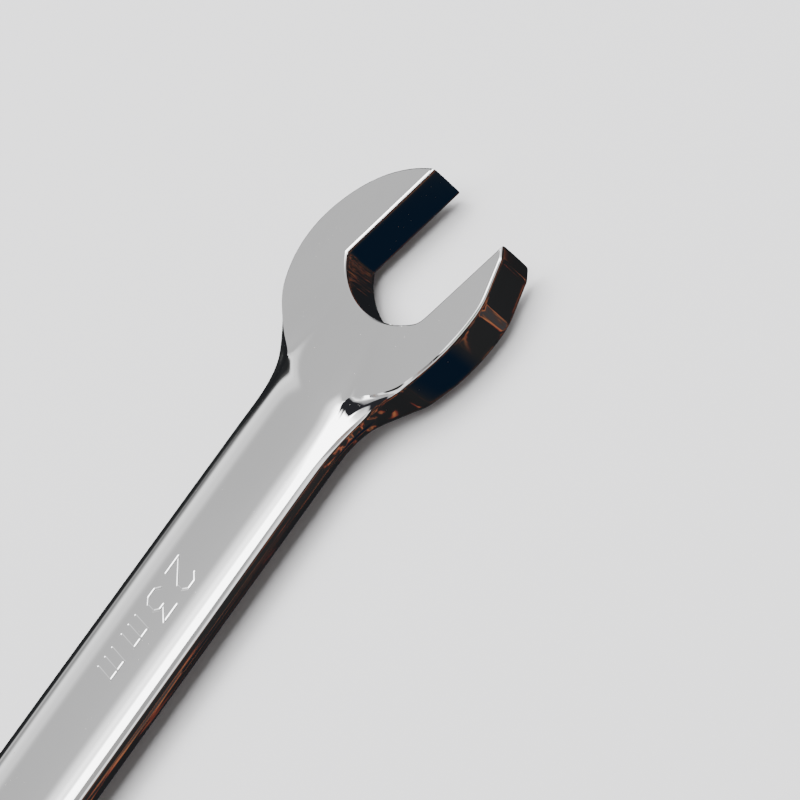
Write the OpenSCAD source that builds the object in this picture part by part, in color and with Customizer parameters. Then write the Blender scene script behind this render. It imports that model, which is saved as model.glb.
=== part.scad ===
// Reversible ratcheting combination wrench, 23 mm.
// Millimetres. +X runs along the shank from the ring end to the open end, +Z is up.
// The origin is on the ring's drive axis, at the underside of the ring head.

/* [Sizes] */
// Across-flats size that both ends fit
size_af = 23; // [21:1:24]
// Distance from the ring's axis to the centre of the open end's head
centre_distance = 255; // [180:1:320]

/* [Open end] */
// Radius of the round head
head_r = 21.5; // [20:0.1:24]
// Thickness of the head
head_t = 9; // [8:0.1:11]
// Angle between the mouth and the shank
jaw_angle = 15; // [0:1:22]
// Distance that the mouth's centre sits forward of the head's centre, along the mouth
jaw_forward = 2.5; // [0:0.1:4]
// Distance from the mouth's centre to the corner of the longer jaw
jaw_reach = 16.6; // [14:0.1:19]
// Radius of the throat behind the flats
throat_r = 12.4; // [12:0.1:13]

/* [Shank] */
// Width of the shank
shank_w = 21.5; // [18:0.1:22]
// Thickness of the shank
shank_t = 7; // [6:0.1:8]
// Radius of the shank's long edges
shank_edge_r = 2.4; // [1:0.1:2.8]
// Depth of the engraved size mark
mark_depth = 0.25; // [0.1:0.05:0.4]
// Height of the engraved characters
mark_h = 6.4; // [4:0.1:7]

/* [Ring end] */
// Radius of the ring head
ring_r = 22.5; // [22:0.1:25]
// Thickness of the ring head
ring_t = 13.5; // [13:0.1:15]
// Slack added to the size on the drive points
drive_slack = 0.1; // [0.05:0.01:0.2]
// Teeth around the ratchet gear
gear_teeth = 72; // [72:12:72]
// Radius over the tips of the gear's teeth
gear_tip_r = 16.6; // [16.5:0.05:16.7]
// Depth of the gear's teeth
tooth_depth = 1.1; // [0.9:0.05:1.2]

/* [Reversing lever] */
// Distance from the ring's axis to the lever's pivot
pivot_x = 23; // [22.9:0.05:23.2]
// Angle that the lever swings from one catch to the other
throw_angle = 20; // [18:1:22]
// Radius of the lever's disc
lever_disc_r = 5.8; // [5.4:0.1:5.9]
// Reach of the thumb tab from the pivot
tab_reach = 13; // [11:0.5:15]

/* [Detent] */
// Radius of the detent ball
ball_r = 1.5; // [1.4:0.05:1.6]
// Distance that the ball moves to drop into a notch
ball_travel = 0.6; // [0.4:0.05:0.7]

/* [Hidden] */
$fn = 96;
steel_colour = [0.80, 0.81, 0.83];
dark_steel_colour = [0.45, 0.45, 0.47];
rubber_colour = [0.08, 0.08, 0.08];
eps = 0.01;
run_gap = 0.05;                          // running fit, on the radius
mid_z = ring_t / 2;                      // one mid-plane for ring, shank and head
half_throw = throw_angle / 2;

// Open end
jaw_x = centre_distance + jaw_forward * cos(jaw_angle) - 0.6 * sin(jaw_angle);
jaw_y = -jaw_forward * sin(jaw_angle) - 0.6 * cos(jaw_angle);
jaw_half = size_af / 2;
throat_u = -8.35 + throat_r;             // centre of the throat's arc, along the mouth

// Ring bore, from the underside up
washer_t = 1.0;
snap_t = 0.9;
snap_z = 0.95;
washer_z = 2.0;
seat_z = washer_z + washer_t;            // the gear's toothed band starts above the washer
seat_r = 17.4;
snap_groove_r = 18.3;
band_z = seat_z + 0.1;
band_top = 10.4;
band_bore_r = gear_tip_r + 0.3;
upper_journal_r = 15.2;
lower_journal_r = 14.5;
gear_top = ring_t - 0.2;
gear_bottom = 0.2;
drive_af = size_af + drive_slack;
drive_corner_r = drive_af / 2 / cos(30);
seal_groove_z = 11.4;
seal_groove_h = 1.0;
seal_groove_r = 14.3;

// Pawl and lever
pawl_t = 6;
pawl_z = mid_z - pawl_t / 2;
pawl_r = 12.9;                           // radius that the pawl's tips swing on
pawl_hub_r = 5.9;
pawl_clear = 0.25;                       // mesh clearance, counted on the gear's radius
relief_r = gear_tip_r + 0.45;
teeth_from_r = 9.6;                      // the pawl's teeth start this far from its pivot
cavity_r = pawl_r + 0.4;
cavity_z = pawl_z - 0.2;
cavity_h = pawl_t + 0.4;
stem_r = 3.4;
foot_r = 2.9;
key_w = 4.5;
disc_z = ring_t - 1.5;
clip_z = 0.65;
clip_t = 0.8;
clip_seat_z = 1.6;
clip_seat_r = 5;
lever_seal_wire = 0.55;
lever_seal_r = stem_r + 0.2 + lever_seal_wire;
lever_seal_z = disc_z - 2 * lever_seal_wire;

// Detent, in a blind hole along the shank behind the pawl
ball_gap = 0.2;
ball_x = pivot_x + pawl_hub_r + ball_gap + ball_r;
notch_x = pawl_hub_r + ball_gap + ball_r - ball_travel;
hole_r = ball_r + run_gap;
hole_end = ball_x + 8;
spring_wire = 0.4;
spring_r = hole_r - spring_wire / 2 - 0.12;
spring_turns = 6;
spring_start = ball_x + ball_r + spring_wire / 2 + 0.03;
spring_end = hole_end - spring_wire / 2 - 0.03;

// Neck between the ring head and the shank
neck_flat_x = 31;
neck_end_x = 60;
neck_start_y = 18.6;

// A straight engraved stroke from one point to another, with round ends
module stroke(from, to, width) {
    run = to - from;
    translate(from) rotate(atan2(run[1], run[0])) translate([0, -width / 2]) square([norm(run), width]);
    translate(from) circle(d = width, $fn = 16);
    translate(to) circle(d = width, $fn = 16);
}

// Strokes through a list of points
module polyline(points, width) {
    for (i = [0:len(points) - 2]) stroke(points[i], points[i + 1], width);
}

// Plain straight-stroke characters, one unit high
two_points = [[0, 0.82], [0.16, 1], [0.44, 1], [0.6, 0.82], [0.6, 0.62], [0, 0], [0.6, 0]];
three_top = [[0, 1], [0.6, 1], [0.26, 0.6]];
three_bowl = [[0.26, 0.6], [0.44, 0.6], [0.6, 0.44], [0.6, 0.16], [0.44, 0], [0.16, 0], [0, 0.16]];
unit_stems = [[0, 0], [0, 0.66], [0.64, 0.66], [0.64, 0]];
unit_middle = [[0.32, 0.66], [0.32, 0]];

// The size mark, reading along +X, centred on the origin
module size_mark(h, width) {
    translate([-1.72 * h, -h / 2]) {
        polyline([for (p = two_points) p * h], width);
        translate([0.86 * h, 0]) {
            polyline([for (p = three_top) p * h], width);
            polyline([for (p = three_bowl) p * h], width);
        }
        for (k = [0, 1]) translate([(1.8 + 0.98 * k) * h, 0]) {
            polyline([for (p = unit_stems) p * h], width);
            polyline([for (p = unit_middle) p * h], width);
        }
    }
}

// Outline of the gear's teeth, grown by a clearance on the radius
module gear_outline(grow) {
    pitch = 360 / gear_teeth;
    polygon([
        for (i = [0:2 * gear_teeth - 1])
            let (r = gear_tip_r + grow - (i % 2 == 0 ? tooth_depth : 0))
            r * [cos(i * pitch / 2), sin(i * pitch / 2)]
    ]);
}

// Moves children to the lever's pivot and turns them about it
module at_pivot(angle) {
    translate([pivot_x, 0, 0]) rotate(angle) children();
}

// A bar along +X with round long edges
module rounded_bar(length, width, thickness, edge) {
    rotate([90, 0, 90]) linear_extrude(length) {
        square([width, thickness - 2 * edge], center = true);
        square([width - 2 * edge, thickness], center = true);
        for (sy = [-1, 1], sz = [-1, 1])
            translate([sy * (width / 2 - edge), sz * (thickness / 2 - edge)]) circle(edge);
    }
}

// Outline of the open end's head: a disc with two straight-sided jaws, and the mouth cut out
module head_outline() {
    difference() {
        union() {
            circle(head_r);
            translate([jaw_x - centre_distance, jaw_y]) rotate(-jaw_angle) polygon([
                [jaw_reach, jaw_half], [8, 19.3], [-4, 21], [-10, 0], [-4, -19.5], [8.3, -18.0],
                [jaw_reach + 0.4, -jaw_half]
            ]);
        }
        translate([jaw_x - centre_distance, jaw_y]) rotate(-jaw_angle) {
            translate([-4.4, -jaw_half]) square([head_r * 2, size_af]);
            intersection() {
                translate([throat_u, 0]) circle(throat_r);
                translate([-throat_r, -jaw_half]) square([throat_r + 4, size_af]);
            }
        }
    }
}

// Concave web that blends the shank's sides into the open end's head
module head_web() {
    web_r = 14;
    web_x = sqrt((head_r + web_r) ^ 2 - (shank_w / 2 + web_r) ^ 2);
    web_y = shank_w / 2 + web_r;
    translate([0, 0, mid_z - shank_t / 2]) linear_extrude(shank_t) difference() {
        translate([-web_x, -web_y * head_r / (head_r + web_r)])
            square([web_x, 2 * web_y * head_r / (head_r + web_r)]);
        for (s = [-1, 1]) translate([-web_x, s * web_y]) circle(web_r);
        // the mouth stays open in front of the head's centre
        translate([-5, -head_r]) square([head_r, 2 * head_r]);
    }
}

module neck() {
    drop = (ring_t - shank_t) / 2;
    intersection() {
        linear_extrude(ring_t) polygon([
            [0, -neck_start_y], [12, -neck_start_y], [neck_end_x, -shank_w / 2],
            [neck_end_x, shank_w / 2], [12, neck_start_y], [0, neck_start_y]
        ]);
        translate([0, ring_r, 0]) rotate([90, 0, 0]) linear_extrude(2 * ring_r) polygon([
            [0, 0], [neck_flat_x, 0], [neck_end_x, drop],
            [neck_end_x, ring_t - drop], [neck_flat_x, ring_t], [0, ring_t]
        ]);
    }
}

module ring_head() {
    edge = 1.6;
    rotate_extrude() {
        square([ring_r - edge, ring_t]);
        translate([0, edge]) square([ring_r, ring_t - 2 * edge]);
        for (z = [edge, ring_t - edge]) translate([ring_r - edge, z]) circle(edge);
    }
}

module ring_bores() {
    translate([0, 0, -1]) cylinder(r = seat_r, h = seat_z + 1);
    translate([0, 0, snap_z - 0.05]) cylinder(r = snap_groove_r, h = snap_t + 0.1);
    translate([0, 0, seat_z - eps]) cylinder(r = band_bore_r, h = band_top + 0.1 - seat_z + eps);
    translate([0, 0, band_top]) cylinder(r = upper_journal_r + run_gap, h = ring_t);
}

module selector_cavity() {
    translate([0, 0, cavity_z]) linear_extrude(cavity_h) at_pivot(0) {
        circle(pawl_hub_r + 0.5);
        intersection() {
            circle(cavity_r);
            translate([-2 * cavity_r, -cavity_r]) square([2 * cavity_r + 0.8, 2 * cavity_r]);
        }
    }
    at_pivot(0) {
        translate([0, 0, disc_z]) cylinder(r = lever_disc_r + 0.3, h = 2);
        translate([0, 0, lever_seal_z]) cylinder(r = lever_seal_r + lever_seal_wire + 0.2, h = 3);
        translate([0, 0, mid_z]) cylinder(r = stem_r + run_gap, h = ring_t);
        translate([0, 0, -1]) cylinder(r = foot_r + run_gap, h = mid_z);
        translate([0, 0, -1]) cylinder(r = clip_seat_r, h = clip_seat_z + 1);
    }
    translate([pivot_x, 0, mid_z]) rotate([0, 90, 0]) cylinder(r = hole_r, h = hole_end - pivot_x);
}

module wrench_body() color(steel_colour) difference() {
    union() {
        ring_head();
        neck();
        translate([neck_end_x - eps, 0, mid_z])
            rounded_bar(centre_distance - neck_end_x - 10, shank_w, shank_t, shank_edge_r);
        translate([centre_distance, 0, mid_z - head_t / 2]) linear_extrude(head_t) head_outline();
        translate([centre_distance, 0, 0]) head_web();
    }
    ring_bores();
    selector_cavity();
    translate([centre_distance - 70, -1, mid_z + shank_t / 2 - mark_depth])
        rotate(180) linear_extrude(1) size_mark(mark_h, 0.5);
}

module ratchet_gear() color(dark_steel_colour) difference() {
    union() {
        translate([0, 0, band_z]) linear_extrude(band_top - band_z) gear_outline(0);
        translate([0, 0, gear_bottom]) cylinder(r = lower_journal_r, h = mid_z);
        translate([0, 0, mid_z]) cylinder(r = upper_journal_r, h = gear_top - mid_z);
    }
    for (turn = [0, 30]) rotate(turn) translate([0, 0, -1]) cylinder(r = drive_corner_r, h = ring_t + 2, $fn = 6);
    translate([0, 0, gear_top - 0.9]) cylinder(r1 = drive_af / 2, r2 = drive_corner_r + 0.4, h = 0.9 + eps);
    translate([0, 0, gear_bottom - eps]) cylinder(r2 = drive_af / 2, r1 = drive_corner_r + 0.4, h = 0.9 + eps);
    translate([0, 0, seal_groove_z]) difference() {
        cylinder(r = upper_journal_r + 1, h = seal_groove_h);
        translate([0, 0, -1]) cylinder(r = seal_groove_r, h = seal_groove_h + 2);
    }
}

module gear_seal() color(rubber_colour)
    translate([0, 0, seal_groove_z + seal_groove_h / 2])
        rotate_extrude() translate([seal_groove_r + 0.43, 0]) circle(0.42, $fn = 24);

module retaining_washer() color(dark_steel_colour) difference() {
    translate([0, 0, washer_z]) cylinder(r = seat_r - run_gap, h = washer_t);
    translate([0, 0, washer_z - 1]) cylinder(r = lower_journal_r + 0.1, h = washer_t + 2);
}

module snap_ring() color(dark_steel_colour) difference() {
    translate([0, 0, snap_z]) cylinder(r = snap_groove_r - 0.1, h = snap_t);
    translate([0, 0, snap_z - 1]) cylinder(r = lower_journal_r + 1.4, h = snap_t + 2);
    // the split that lets the ring be squeezed into its groove
    translate([-2 * ring_r, -1.5, snap_z - 1]) cube([2 * ring_r, 3, snap_t + 2]);
}

module reversing_lever() color(steel_colour) at_pivot(half_throw) {
    difference() {
        union() {
            translate([0, 0, disc_z + 0.1]) cylinder(r = lever_disc_r, h = ring_t - disc_z + 0.6);
            translate([0, 0, ring_t + 0.25]) linear_extrude(2.2) {
                circle(lever_disc_r);
                translate([0, -2.6]) square([tab_reach - 2.6, 5.2]);
                translate([tab_reach - 2.6, 0]) circle(2.6);
            }
            translate([0, 0, cavity_z + cavity_h]) cylinder(r = stem_r, h = disc_z + 0.2 - cavity_z - cavity_h);
            translate([-key_w / 2, -key_w / 2, pawl_z - 0.1]) cube([key_w, key_w, pawl_t + 0.4]);
            translate([0, 0, 0.4]) cylinder(r = foot_r, h = pawl_z - 0.4);
        }
        // groove for the clip
        translate([0, 0, clip_z - 0.05]) difference() {
            cylinder(r = foot_r + 1, h = clip_t + 0.1);
            translate([0, 0, -1]) cylinder(r = foot_r - 0.7, h = clip_t + 2);
        }
        // thumb grooves across the tab
        for (i = [0:2])
            translate([tab_reach - 1.6 - 1.9 * i, -4, ring_t + 2.75]) rotate([-90, 0, 0]) cylinder(r = 0.6, h = 8, $fn = 24);
    }
}

// Drawn with its centre line on +X, midway between its two catches
module pawl_outline() {
    difference() {
        union() {
            circle(pawl_hub_r);
            intersection() {
                circle(pawl_r);
                polygon([
                    [0, -pawl_hub_r], [0, pawl_hub_r], [-4.6, pawl_r - 1.6], [-6, pawl_r],
                    [-pawl_r, pawl_r], [-pawl_r, -pawl_r], [-6, -pawl_r], [-4.6, 1.6 - pawl_r]
                ]);
            }
        }
        for (s = [-1, 1]) rotate(s * half_throw) {
            translate([-pivot_x, 0]) gear_outline(pawl_clear);
            intersection() {
                translate([-pivot_x, 0]) circle(relief_r);
                circle(teeth_from_r);
            }
        }
        square(key_w + 0.1, center = true);
    }
}

module double_pawl() color(dark_steel_colour) at_pivot(half_throw) difference() {
    translate([0, 0, pawl_z]) linear_extrude(pawl_t) pawl_outline();
    // two notches for the detent ball
    for (s = [-1, 1]) rotate(s * half_throw) translate([notch_x, 0, mid_z]) sphere(ball_r + 0.1);
}

module lever_seal() color(rubber_colour)
    translate([pivot_x, 0, lever_seal_z + lever_seal_wire])
        rotate_extrude() translate([lever_seal_r, 0]) circle(lever_seal_wire - 0.05, $fn = 24);

module lever_clip() color(dark_steel_colour) at_pivot(half_throw) difference() {
    translate([0, 0, clip_z]) cylinder(r = foot_r + 1.5, h = clip_t);
    translate([0, 0, clip_z - 1]) cylinder(r = foot_r - 0.65, h = clip_t + 2);
    // the open side that pushes over the stem
    translate([0, -1.5, clip_z - 1]) cube([3 * foot_r, 3, clip_t + 2]);
}

module detent_ball() color(steel_colour) translate([ball_x, 0, mid_z]) sphere(ball_r);

// Tube swept along a helix about the X axis, with closed ends
module helix(start, end, r, wire, turns) {
    sides = 6;
    steps = turns * 12;
    points = [
        for (i = [0:steps], k = [0:sides - 1])
            let (
                angle = 360 * turns * i / steps,
                reach = r + wire / 2 * cos(360 * k / sides),
                along = start + (end - start) * i / steps + wire / 2 * sin(360 * k / sides)
            )
            [along, reach * cos(angle), reach * sin(angle)]
    ];
    sides_faces = [
        for (i = [0:steps - 1], k = [0:sides - 1])
            let (a = i * sides + k, b = i * sides + (k + 1) % sides)
            [a, b, b + sides, a + sides]
    ];
    start_face = [for (k = [0:sides - 1]) sides - 1 - k];
    end_face = [for (k = [0:sides - 1]) steps * sides + k];
    polyhedron(points, concat(sides_faces, [start_face], [end_face]), convexity = 10);
}

module detent_spring() color(steel_colour) translate([0, 0, mid_z])
    helix(spring_start, spring_end, spring_r, spring_wire, spring_turns);

wrench_body();
ratchet_gear();
gear_seal();
retaining_washer();
snap_ring();
reversing_lever();
double_pawl();
lever_seal();
lever_clip();
detent_ball();
detent_spring();
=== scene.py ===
"""Visual model of a 23 mm combination wrench with a reversible ratcheting ring end.

The frame holds the sizes. Shapes are built in millimetres about the wrench's mid-plane, then
moved into the frame in metres. +X runs from the ring end to the open end and +Z is up.
"""
from __future__ import annotations

import logging
import math
from dataclasses import dataclass, field
from enum import Enum
from typing import Callable, Sequence

import bmesh
import bpy
from mathutils import Matrix, Vector, noise

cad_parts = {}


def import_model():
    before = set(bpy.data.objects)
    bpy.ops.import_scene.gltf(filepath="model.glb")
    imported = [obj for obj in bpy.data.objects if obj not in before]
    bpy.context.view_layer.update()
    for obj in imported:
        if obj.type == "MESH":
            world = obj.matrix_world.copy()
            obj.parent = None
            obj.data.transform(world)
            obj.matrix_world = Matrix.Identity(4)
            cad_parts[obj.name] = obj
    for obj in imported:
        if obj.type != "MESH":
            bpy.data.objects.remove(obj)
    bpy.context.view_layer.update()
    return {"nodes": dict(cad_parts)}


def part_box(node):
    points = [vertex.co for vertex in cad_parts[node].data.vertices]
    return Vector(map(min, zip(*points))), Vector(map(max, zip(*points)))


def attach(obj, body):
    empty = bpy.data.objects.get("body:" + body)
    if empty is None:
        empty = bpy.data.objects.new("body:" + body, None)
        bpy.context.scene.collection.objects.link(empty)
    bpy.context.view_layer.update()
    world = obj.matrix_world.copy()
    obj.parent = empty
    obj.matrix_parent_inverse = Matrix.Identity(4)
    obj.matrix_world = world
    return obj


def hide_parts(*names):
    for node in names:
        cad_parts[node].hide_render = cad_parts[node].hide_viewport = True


log = logging.getLogger("wrench")

MM = 0.001
WELD = 1e-4


class Body(Enum):
    """The moving bodies of the frame."""

    WRENCH = "wrench"
    GEAR = "gear"
    SELECTOR = "selector"
    BALL = "ball"


# --------------------------------------------------------------------------- mesh helpers


def polar(radius: float, degrees: float, z: float = 0.0) -> Vector:
    """A point on a circle about the Z axis.

    Args:
        radius: Distance from the axis.
        degrees: Angle from +X.
        z: Height.

    Returns:
        The point.
    """
    turn = math.radians(degrees)
    return Vector((radius * math.cos(turn), radius * math.sin(turn), z))


def spread(start: float, end: float, count: int) -> list[float]:
    """Evenly spaced values, both ends included.

    Args:
        start: First value.
        end: Last value.
        count: How many values, two or more.

    Returns:
        The values in order.
    """
    return [start + (end - start) * i / (count - 1) for i in range(count)]


def edge_between(a: bmesh.types.BMVert, b: bmesh.types.BMVert) -> bmesh.types.BMEdge:
    """The edge that joins two vertices."""
    return next(e for e in a.link_edges if e.other_vert(a) is b)


def chain_edges(verts: Sequence[bmesh.types.BMVert], closed: bool) -> list[bmesh.types.BMEdge]:
    """The edges along a row of joined vertices.

    Args:
        verts: The vertices in order.
        closed: Whether the last one joins the first.

    Returns:
        The edges in order.
    """
    pairs = list(zip(verts, verts[1:]))
    if closed:
        pairs.append((verts[-1], verts[0]))
    return [edge_between(a, b) for a, b in pairs]


def start_chain(bm: bmesh.types.BMesh, points: Sequence[Vector], closed: bool) -> list[bmesh.types.BMVert]:
    """Adds a row of vertices joined by edges.

    Args:
        bm: The mesh to add to.
        points: Where the vertices go.
        closed: Whether the last one joins the first.

    Returns:
        The new vertices in order.
    """
    verts = [bm.verts.new(p) for p in points]
    for a, b in zip(verts, verts[1:]):
        bm.edges.new((a, b))
    if closed:
        bm.edges.new((verts[-1], verts[0]))
    return verts


def pull(
    bm: bmesh.types.BMesh, verts: Sequence[bmesh.types.BMVert], targets: Sequence[Vector], closed: bool
) -> list[bmesh.types.BMVert]:
    """Extrudes a row of edges and moves the new row into place.

    Args:
        bm: The mesh to extrude in.
        verts: The row to extrude, in order.
        targets: Where each new vertex goes.
        closed: Whether the row is a loop.

    Returns:
        The new row, in the same order.
    """
    made = bmesh.ops.extrude_edge_only(bm, edges=chain_edges(verts, closed))["geom"]
    fresh = {g for g in made if isinstance(g, bmesh.types.BMVert)}
    row = []
    for vert, target in zip(verts, targets):
        twin = next(e.other_vert(vert) for e in vert.link_edges if e.other_vert(vert) in fresh)
        twin.co = target
        row.append(twin)
    return row


def crease(bm: bmesh.types.BMesh, edges: Sequence[bmesh.types.BMEdge], amount: float) -> None:
    """Keeps edges sharp through the subdivision.

    Args:
        bm: The mesh that holds the edges.
        edges: The edges to keep sharp.
        amount: 0 for soft to 1 for sharp.
    """
    layer = bm.edges.layers.float["crease_edge"]
    for edge in edges:
        edge[layer] = amount


def sharp_edges(bm: bmesh.types.BMesh, degrees: float) -> list[bmesh.types.BMEdge]:
    """Edges whose two faces meet at more than an angle."""
    limit = math.radians(degrees)
    return [e for e in bm.edges if len(e.link_faces) == 2 and e.calc_face_angle(0.0) > limit]


def soften(bm: bmesh.types.BMesh, width: float, degrees: float = 35.0, segments: int = 2) -> None:
    """Rounds every sharp edge a little.

    Args:
        bm: The mesh to round.
        width: Width of the rounding in millimetres.
        degrees: Edges that turn more than this are rounded.
        segments: Steps across the rounding.
    """
    bmesh.ops.bevel(
        bm,
        geom=sharp_edges(bm, degrees),
        offset=width,
        offset_type="OFFSET",
        segments=segments,
        profile=0.5,
        affect="EDGES",
        clamp_overlap=True,
        material=-1,
    )


def loop_tube(bm: bmesh.types.BMesh, loops: Sequence[Sequence[Vector]]) -> None:
    """Joins loops of equal length into a closed ring-shaped skin.

    Args:
        bm: The mesh to add to.
        loops: The loops in order; the last one joins the first.
    """
    first = start_chain(bm, loops[0], closed=True)
    row = first
    for loop in [*loops[1:], loops[0]]:
        row = pull(bm, row, loop, closed=True)
    bmesh.ops.remove_doubles(bm, verts=[*first, *row], dist=WELD)


def revolve(
    bm: bmesh.types.BMesh, profile: Sequence[tuple[float, float]], steps: int, centre: Vector
) -> None:
    """Spins a closed profile that starts and ends on the Z axis, or a ring's closed section.

    Args:
        bm: The mesh to add to.
        profile: (radius, height) points; a first and last radius of 0 close the shape.
        steps: Steps round the full turn.
        centre: A point on the axis.
    """
    on_axis = profile[0][0] == 0
    verts = start_chain(bm, [centre + Vector((r, 0, z)) for r, z in profile], closed=not on_axis)
    bmesh.ops.spin(
        bm,
        geom=[*verts, *chain_edges(verts, closed=not on_axis)],
        cent=centre,
        axis=(0, 0, 1),
        angle=math.tau,
        steps=steps,
        use_merge=True,
    )
    bmesh.ops.remove_doubles(bm, verts=bm.verts[:], dist=WELD)


def split_ring(
    bm: bmesh.types.BMesh,
    section: tuple[float, float, float, float],
    gap: float,
    gap_angle: float,
    centre: Vector,
    steps: int,
) -> None:
    """A flat ring with a gap in it, spun from its section.

    Args:
        bm: The mesh to add to.
        section: Inner radius, outer radius, low and high.
        gap: Width of the gap at the outer edge.
        gap_angle: Where the gap is, in degrees.
        centre: A point on the ring's axis.
        steps: Steps round the ring.
    """
    inner, outer, low, high = section
    half_gap = math.degrees(math.asin(gap / 2 / ((inner + outer) / 2)))
    start = gap_angle + half_gap
    corners = [
        centre + polar(r, start, z) for r, z in ((inner, low), (outer, low), (outer, high), (inner, high))
    ]
    verts = start_chain(bm, corners, closed=True)
    face = bm.faces.new(verts)
    bmesh.ops.spin(
        bm,
        geom=[face, *verts, *face.edges],
        cent=centre,
        axis=(0, 0, 1),
        angle=math.radians(360.0 - 2 * half_gap),
        steps=steps,
        use_merge=False,
    )
    bmesh.ops.remove_doubles(bm, verts=bm.verts[:], dist=WELD)


def round_ring(bm: bmesh.types.BMesh, radius: float, wire: float, centre: Vector, steps: int) -> None:
    """A ring of round section about Z.

    Args:
        bm: The mesh to add to.
        radius: Radius of the ring's centre line.
        wire: Radius of its section.
        centre: The ring's centre.
        steps: Steps round the ring.
    """
    section = [(radius + p.x, p.y) for p in (polar(wire, a) for a in spread(0, 360, 17)[:-1])]
    revolve(bm, section, steps, centre)


def evaluated(obj: bpy.types.Object) -> None:
    """Makes an object's modifiers part of its mesh."""
    graph = bpy.context.evaluated_depsgraph_get()
    mesh = bpy.data.meshes.new_from_object(obj.evaluated_get(graph), depsgraph=graph)
    obj.modifiers.clear()
    obj.data = mesh


def new_object(name: str, bm: bmesh.types.BMesh) -> bpy.types.Object:
    """Puts a bmesh into a new object in the scene.

    Args:
        name: Name of the object and its mesh.
        bm: The mesh, in metres; it is freed.

    Returns:
        The object.
    """
    mesh = bpy.data.meshes.new(name)
    bm.to_mesh(mesh)
    bm.free()
    obj = bpy.data.objects.new(name, mesh)
    bpy.context.scene.collection.objects.link(obj)
    return obj


def shade(obj: bpy.types.Object, degrees: float) -> None:
    """Smooth shading with sharp edges past an angle."""
    for polygon in obj.data.polygons:
        polygon.use_smooth = True
    obj.data.set_sharp_from_angle(angle=math.radians(degrees))


@dataclass(frozen=True)
class Placement:
    """Where shapes built in millimetres go in the frame.

    Attributes:
        mid_height: Height of the wrench's mid-plane above the ring's underside, in millimetres.
    """

    mid_height: float

    def into_frame(self, bm: bmesh.types.BMesh) -> None:
        """Lifts a mesh from the mid-plane and turns millimetres into metres."""
        bmesh.ops.translate(bm, verts=bm.verts[:], vec=(0, 0, self.mid_height))
        bmesh.ops.scale(bm, verts=bm.verts[:], vec=(MM, MM, MM))


def dress(
    obj: bpy.types.Object, body: Body, replaced: str, material: bpy.types.Material
) -> bpy.types.Object:
    """Gives a finished shape its material and its body, hides the frame node it stands for and logs its face
    count.

    Args:
        obj: The shape, in the frame.
        body: The body it rides on.
        replaced: The frame node it stands for.
        material: Its finish.

    Returns:
        The same object.
    """
    obj.data.materials.append(material)
    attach(obj, body.value)
    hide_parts(replaced)
    log.info("%s: %d faces", obj.name, len(obj.data.polygons))
    return obj


def finish_piece(
    name: str,
    bm: bmesh.types.BMesh,
    place: Placement,
    body: Body,
    replaced: str,
    material: bpy.types.Material,
    angle: float = 30.0,
) -> bpy.types.Object:
    """Turns a mesh in millimetres into a finished piece that rides on a body.

    Args:
        name: Name of the piece.
        bm: Its mesh in millimetres about the mid-plane.
        place: Where it goes in the frame.
        body: The body it rides on.
        replaced: The frame node it stands for.
        material: Its finish.
        angle: Edges that turn more than this many degrees are shaded sharp.

    Returns:
        The finished object.
    """
    bmesh.ops.recalc_face_normals(bm, faces=bm.faces[:])
    place.into_frame(bm)
    obj = new_object(name, bm)
    shade(obj, angle)
    return dress(obj, body, replaced, material)


# --------------------------------------------------------------------------- node helpers


def remap(
    tree: bpy.types.NodeTree,
    value: bpy.types.NodeSocket,
    source: tuple[float, float],
    result: tuple[float, float] = (0.0, 1.0),
) -> bpy.types.Node:
    """Adds a smooth, clamped Map Range node behind a value.

    Args:
        tree: The node tree.
        value: The socket to read.
        source: The range it is read over.
        result: The range it becomes.

    Returns:
        The Map Range node.
    """
    node = tree.nodes.new("ShaderNodeMapRange")
    node.interpolation_type = "SMOOTHSTEP"
    for socket, number in zip(("From Min", "From Max", "To Min", "To Max"), (*source, *result)):
        node.inputs[socket].default_value = number
    tree.links.new(value, node.inputs["Value"])
    return node


def multiply(tree: bpy.types.NodeTree, *values: bpy.types.NodeSocket) -> bpy.types.NodeSocket:
    """Multiplies sockets together, first to last."""
    product = values[0]
    for value in values[1:]:
        node = tree.nodes.new("ShaderNodeMath")
        node.operation = "MULTIPLY"
        tree.links.new(product, node.inputs[0])
        tree.links.new(value, node.inputs[1])
        product = node.outputs["Value"]
    return product


def distance_from(
    tree: bpy.types.NodeTree, place: bpy.types.NodeSocket, point: tuple[float, float, float]
) -> bpy.types.NodeSocket:
    """Distance of a vector socket from a fixed point."""
    node = tree.nodes.new("ShaderNodeVectorMath")
    node.operation = "DISTANCE"
    node.inputs[1].default_value = point
    tree.links.new(place, node.inputs[0])
    return node.outputs["Value"]


def mix_colours(
    tree: bpy.types.NodeTree, factor: bpy.types.NodeSocket, under: object, over: object, mode: str = "MIX"
) -> bpy.types.NodeSocket:
    """Mixes two colours, each a plain colour or a socket that gives one.

    Args:
        tree: The node tree.
        factor: How much of the upper colour shows.
        under: The lower colour.
        over: The upper colour.
        mode: Blender's name for the way of mixing.

    Returns:
        The socket of the mixed colour.
    """
    mix = tree.nodes.new("ShaderNodeMix")
    mix.data_type = "RGBA"
    mix.blend_type = mode
    tree.links.new(factor, mix.inputs["Factor"])
    for place, colour in ((6, under), (7, over)):
        if isinstance(colour, bpy.types.NodeSocket):
            tree.links.new(colour, mix.inputs[place])
        else:
            mix.inputs[place].default_value = (*colour, 1.0)
    return mix.outputs[2]


# --------------------------------------------------------------------------- finishes


class Effect(Enum):
    """The shader effects that several finishes share."""

    HAZE = "handling_haze"
    GRAIN = "tool_grain"
    SPECKS = "dust_specks"
    WEAR = "edge_wear"


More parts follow.
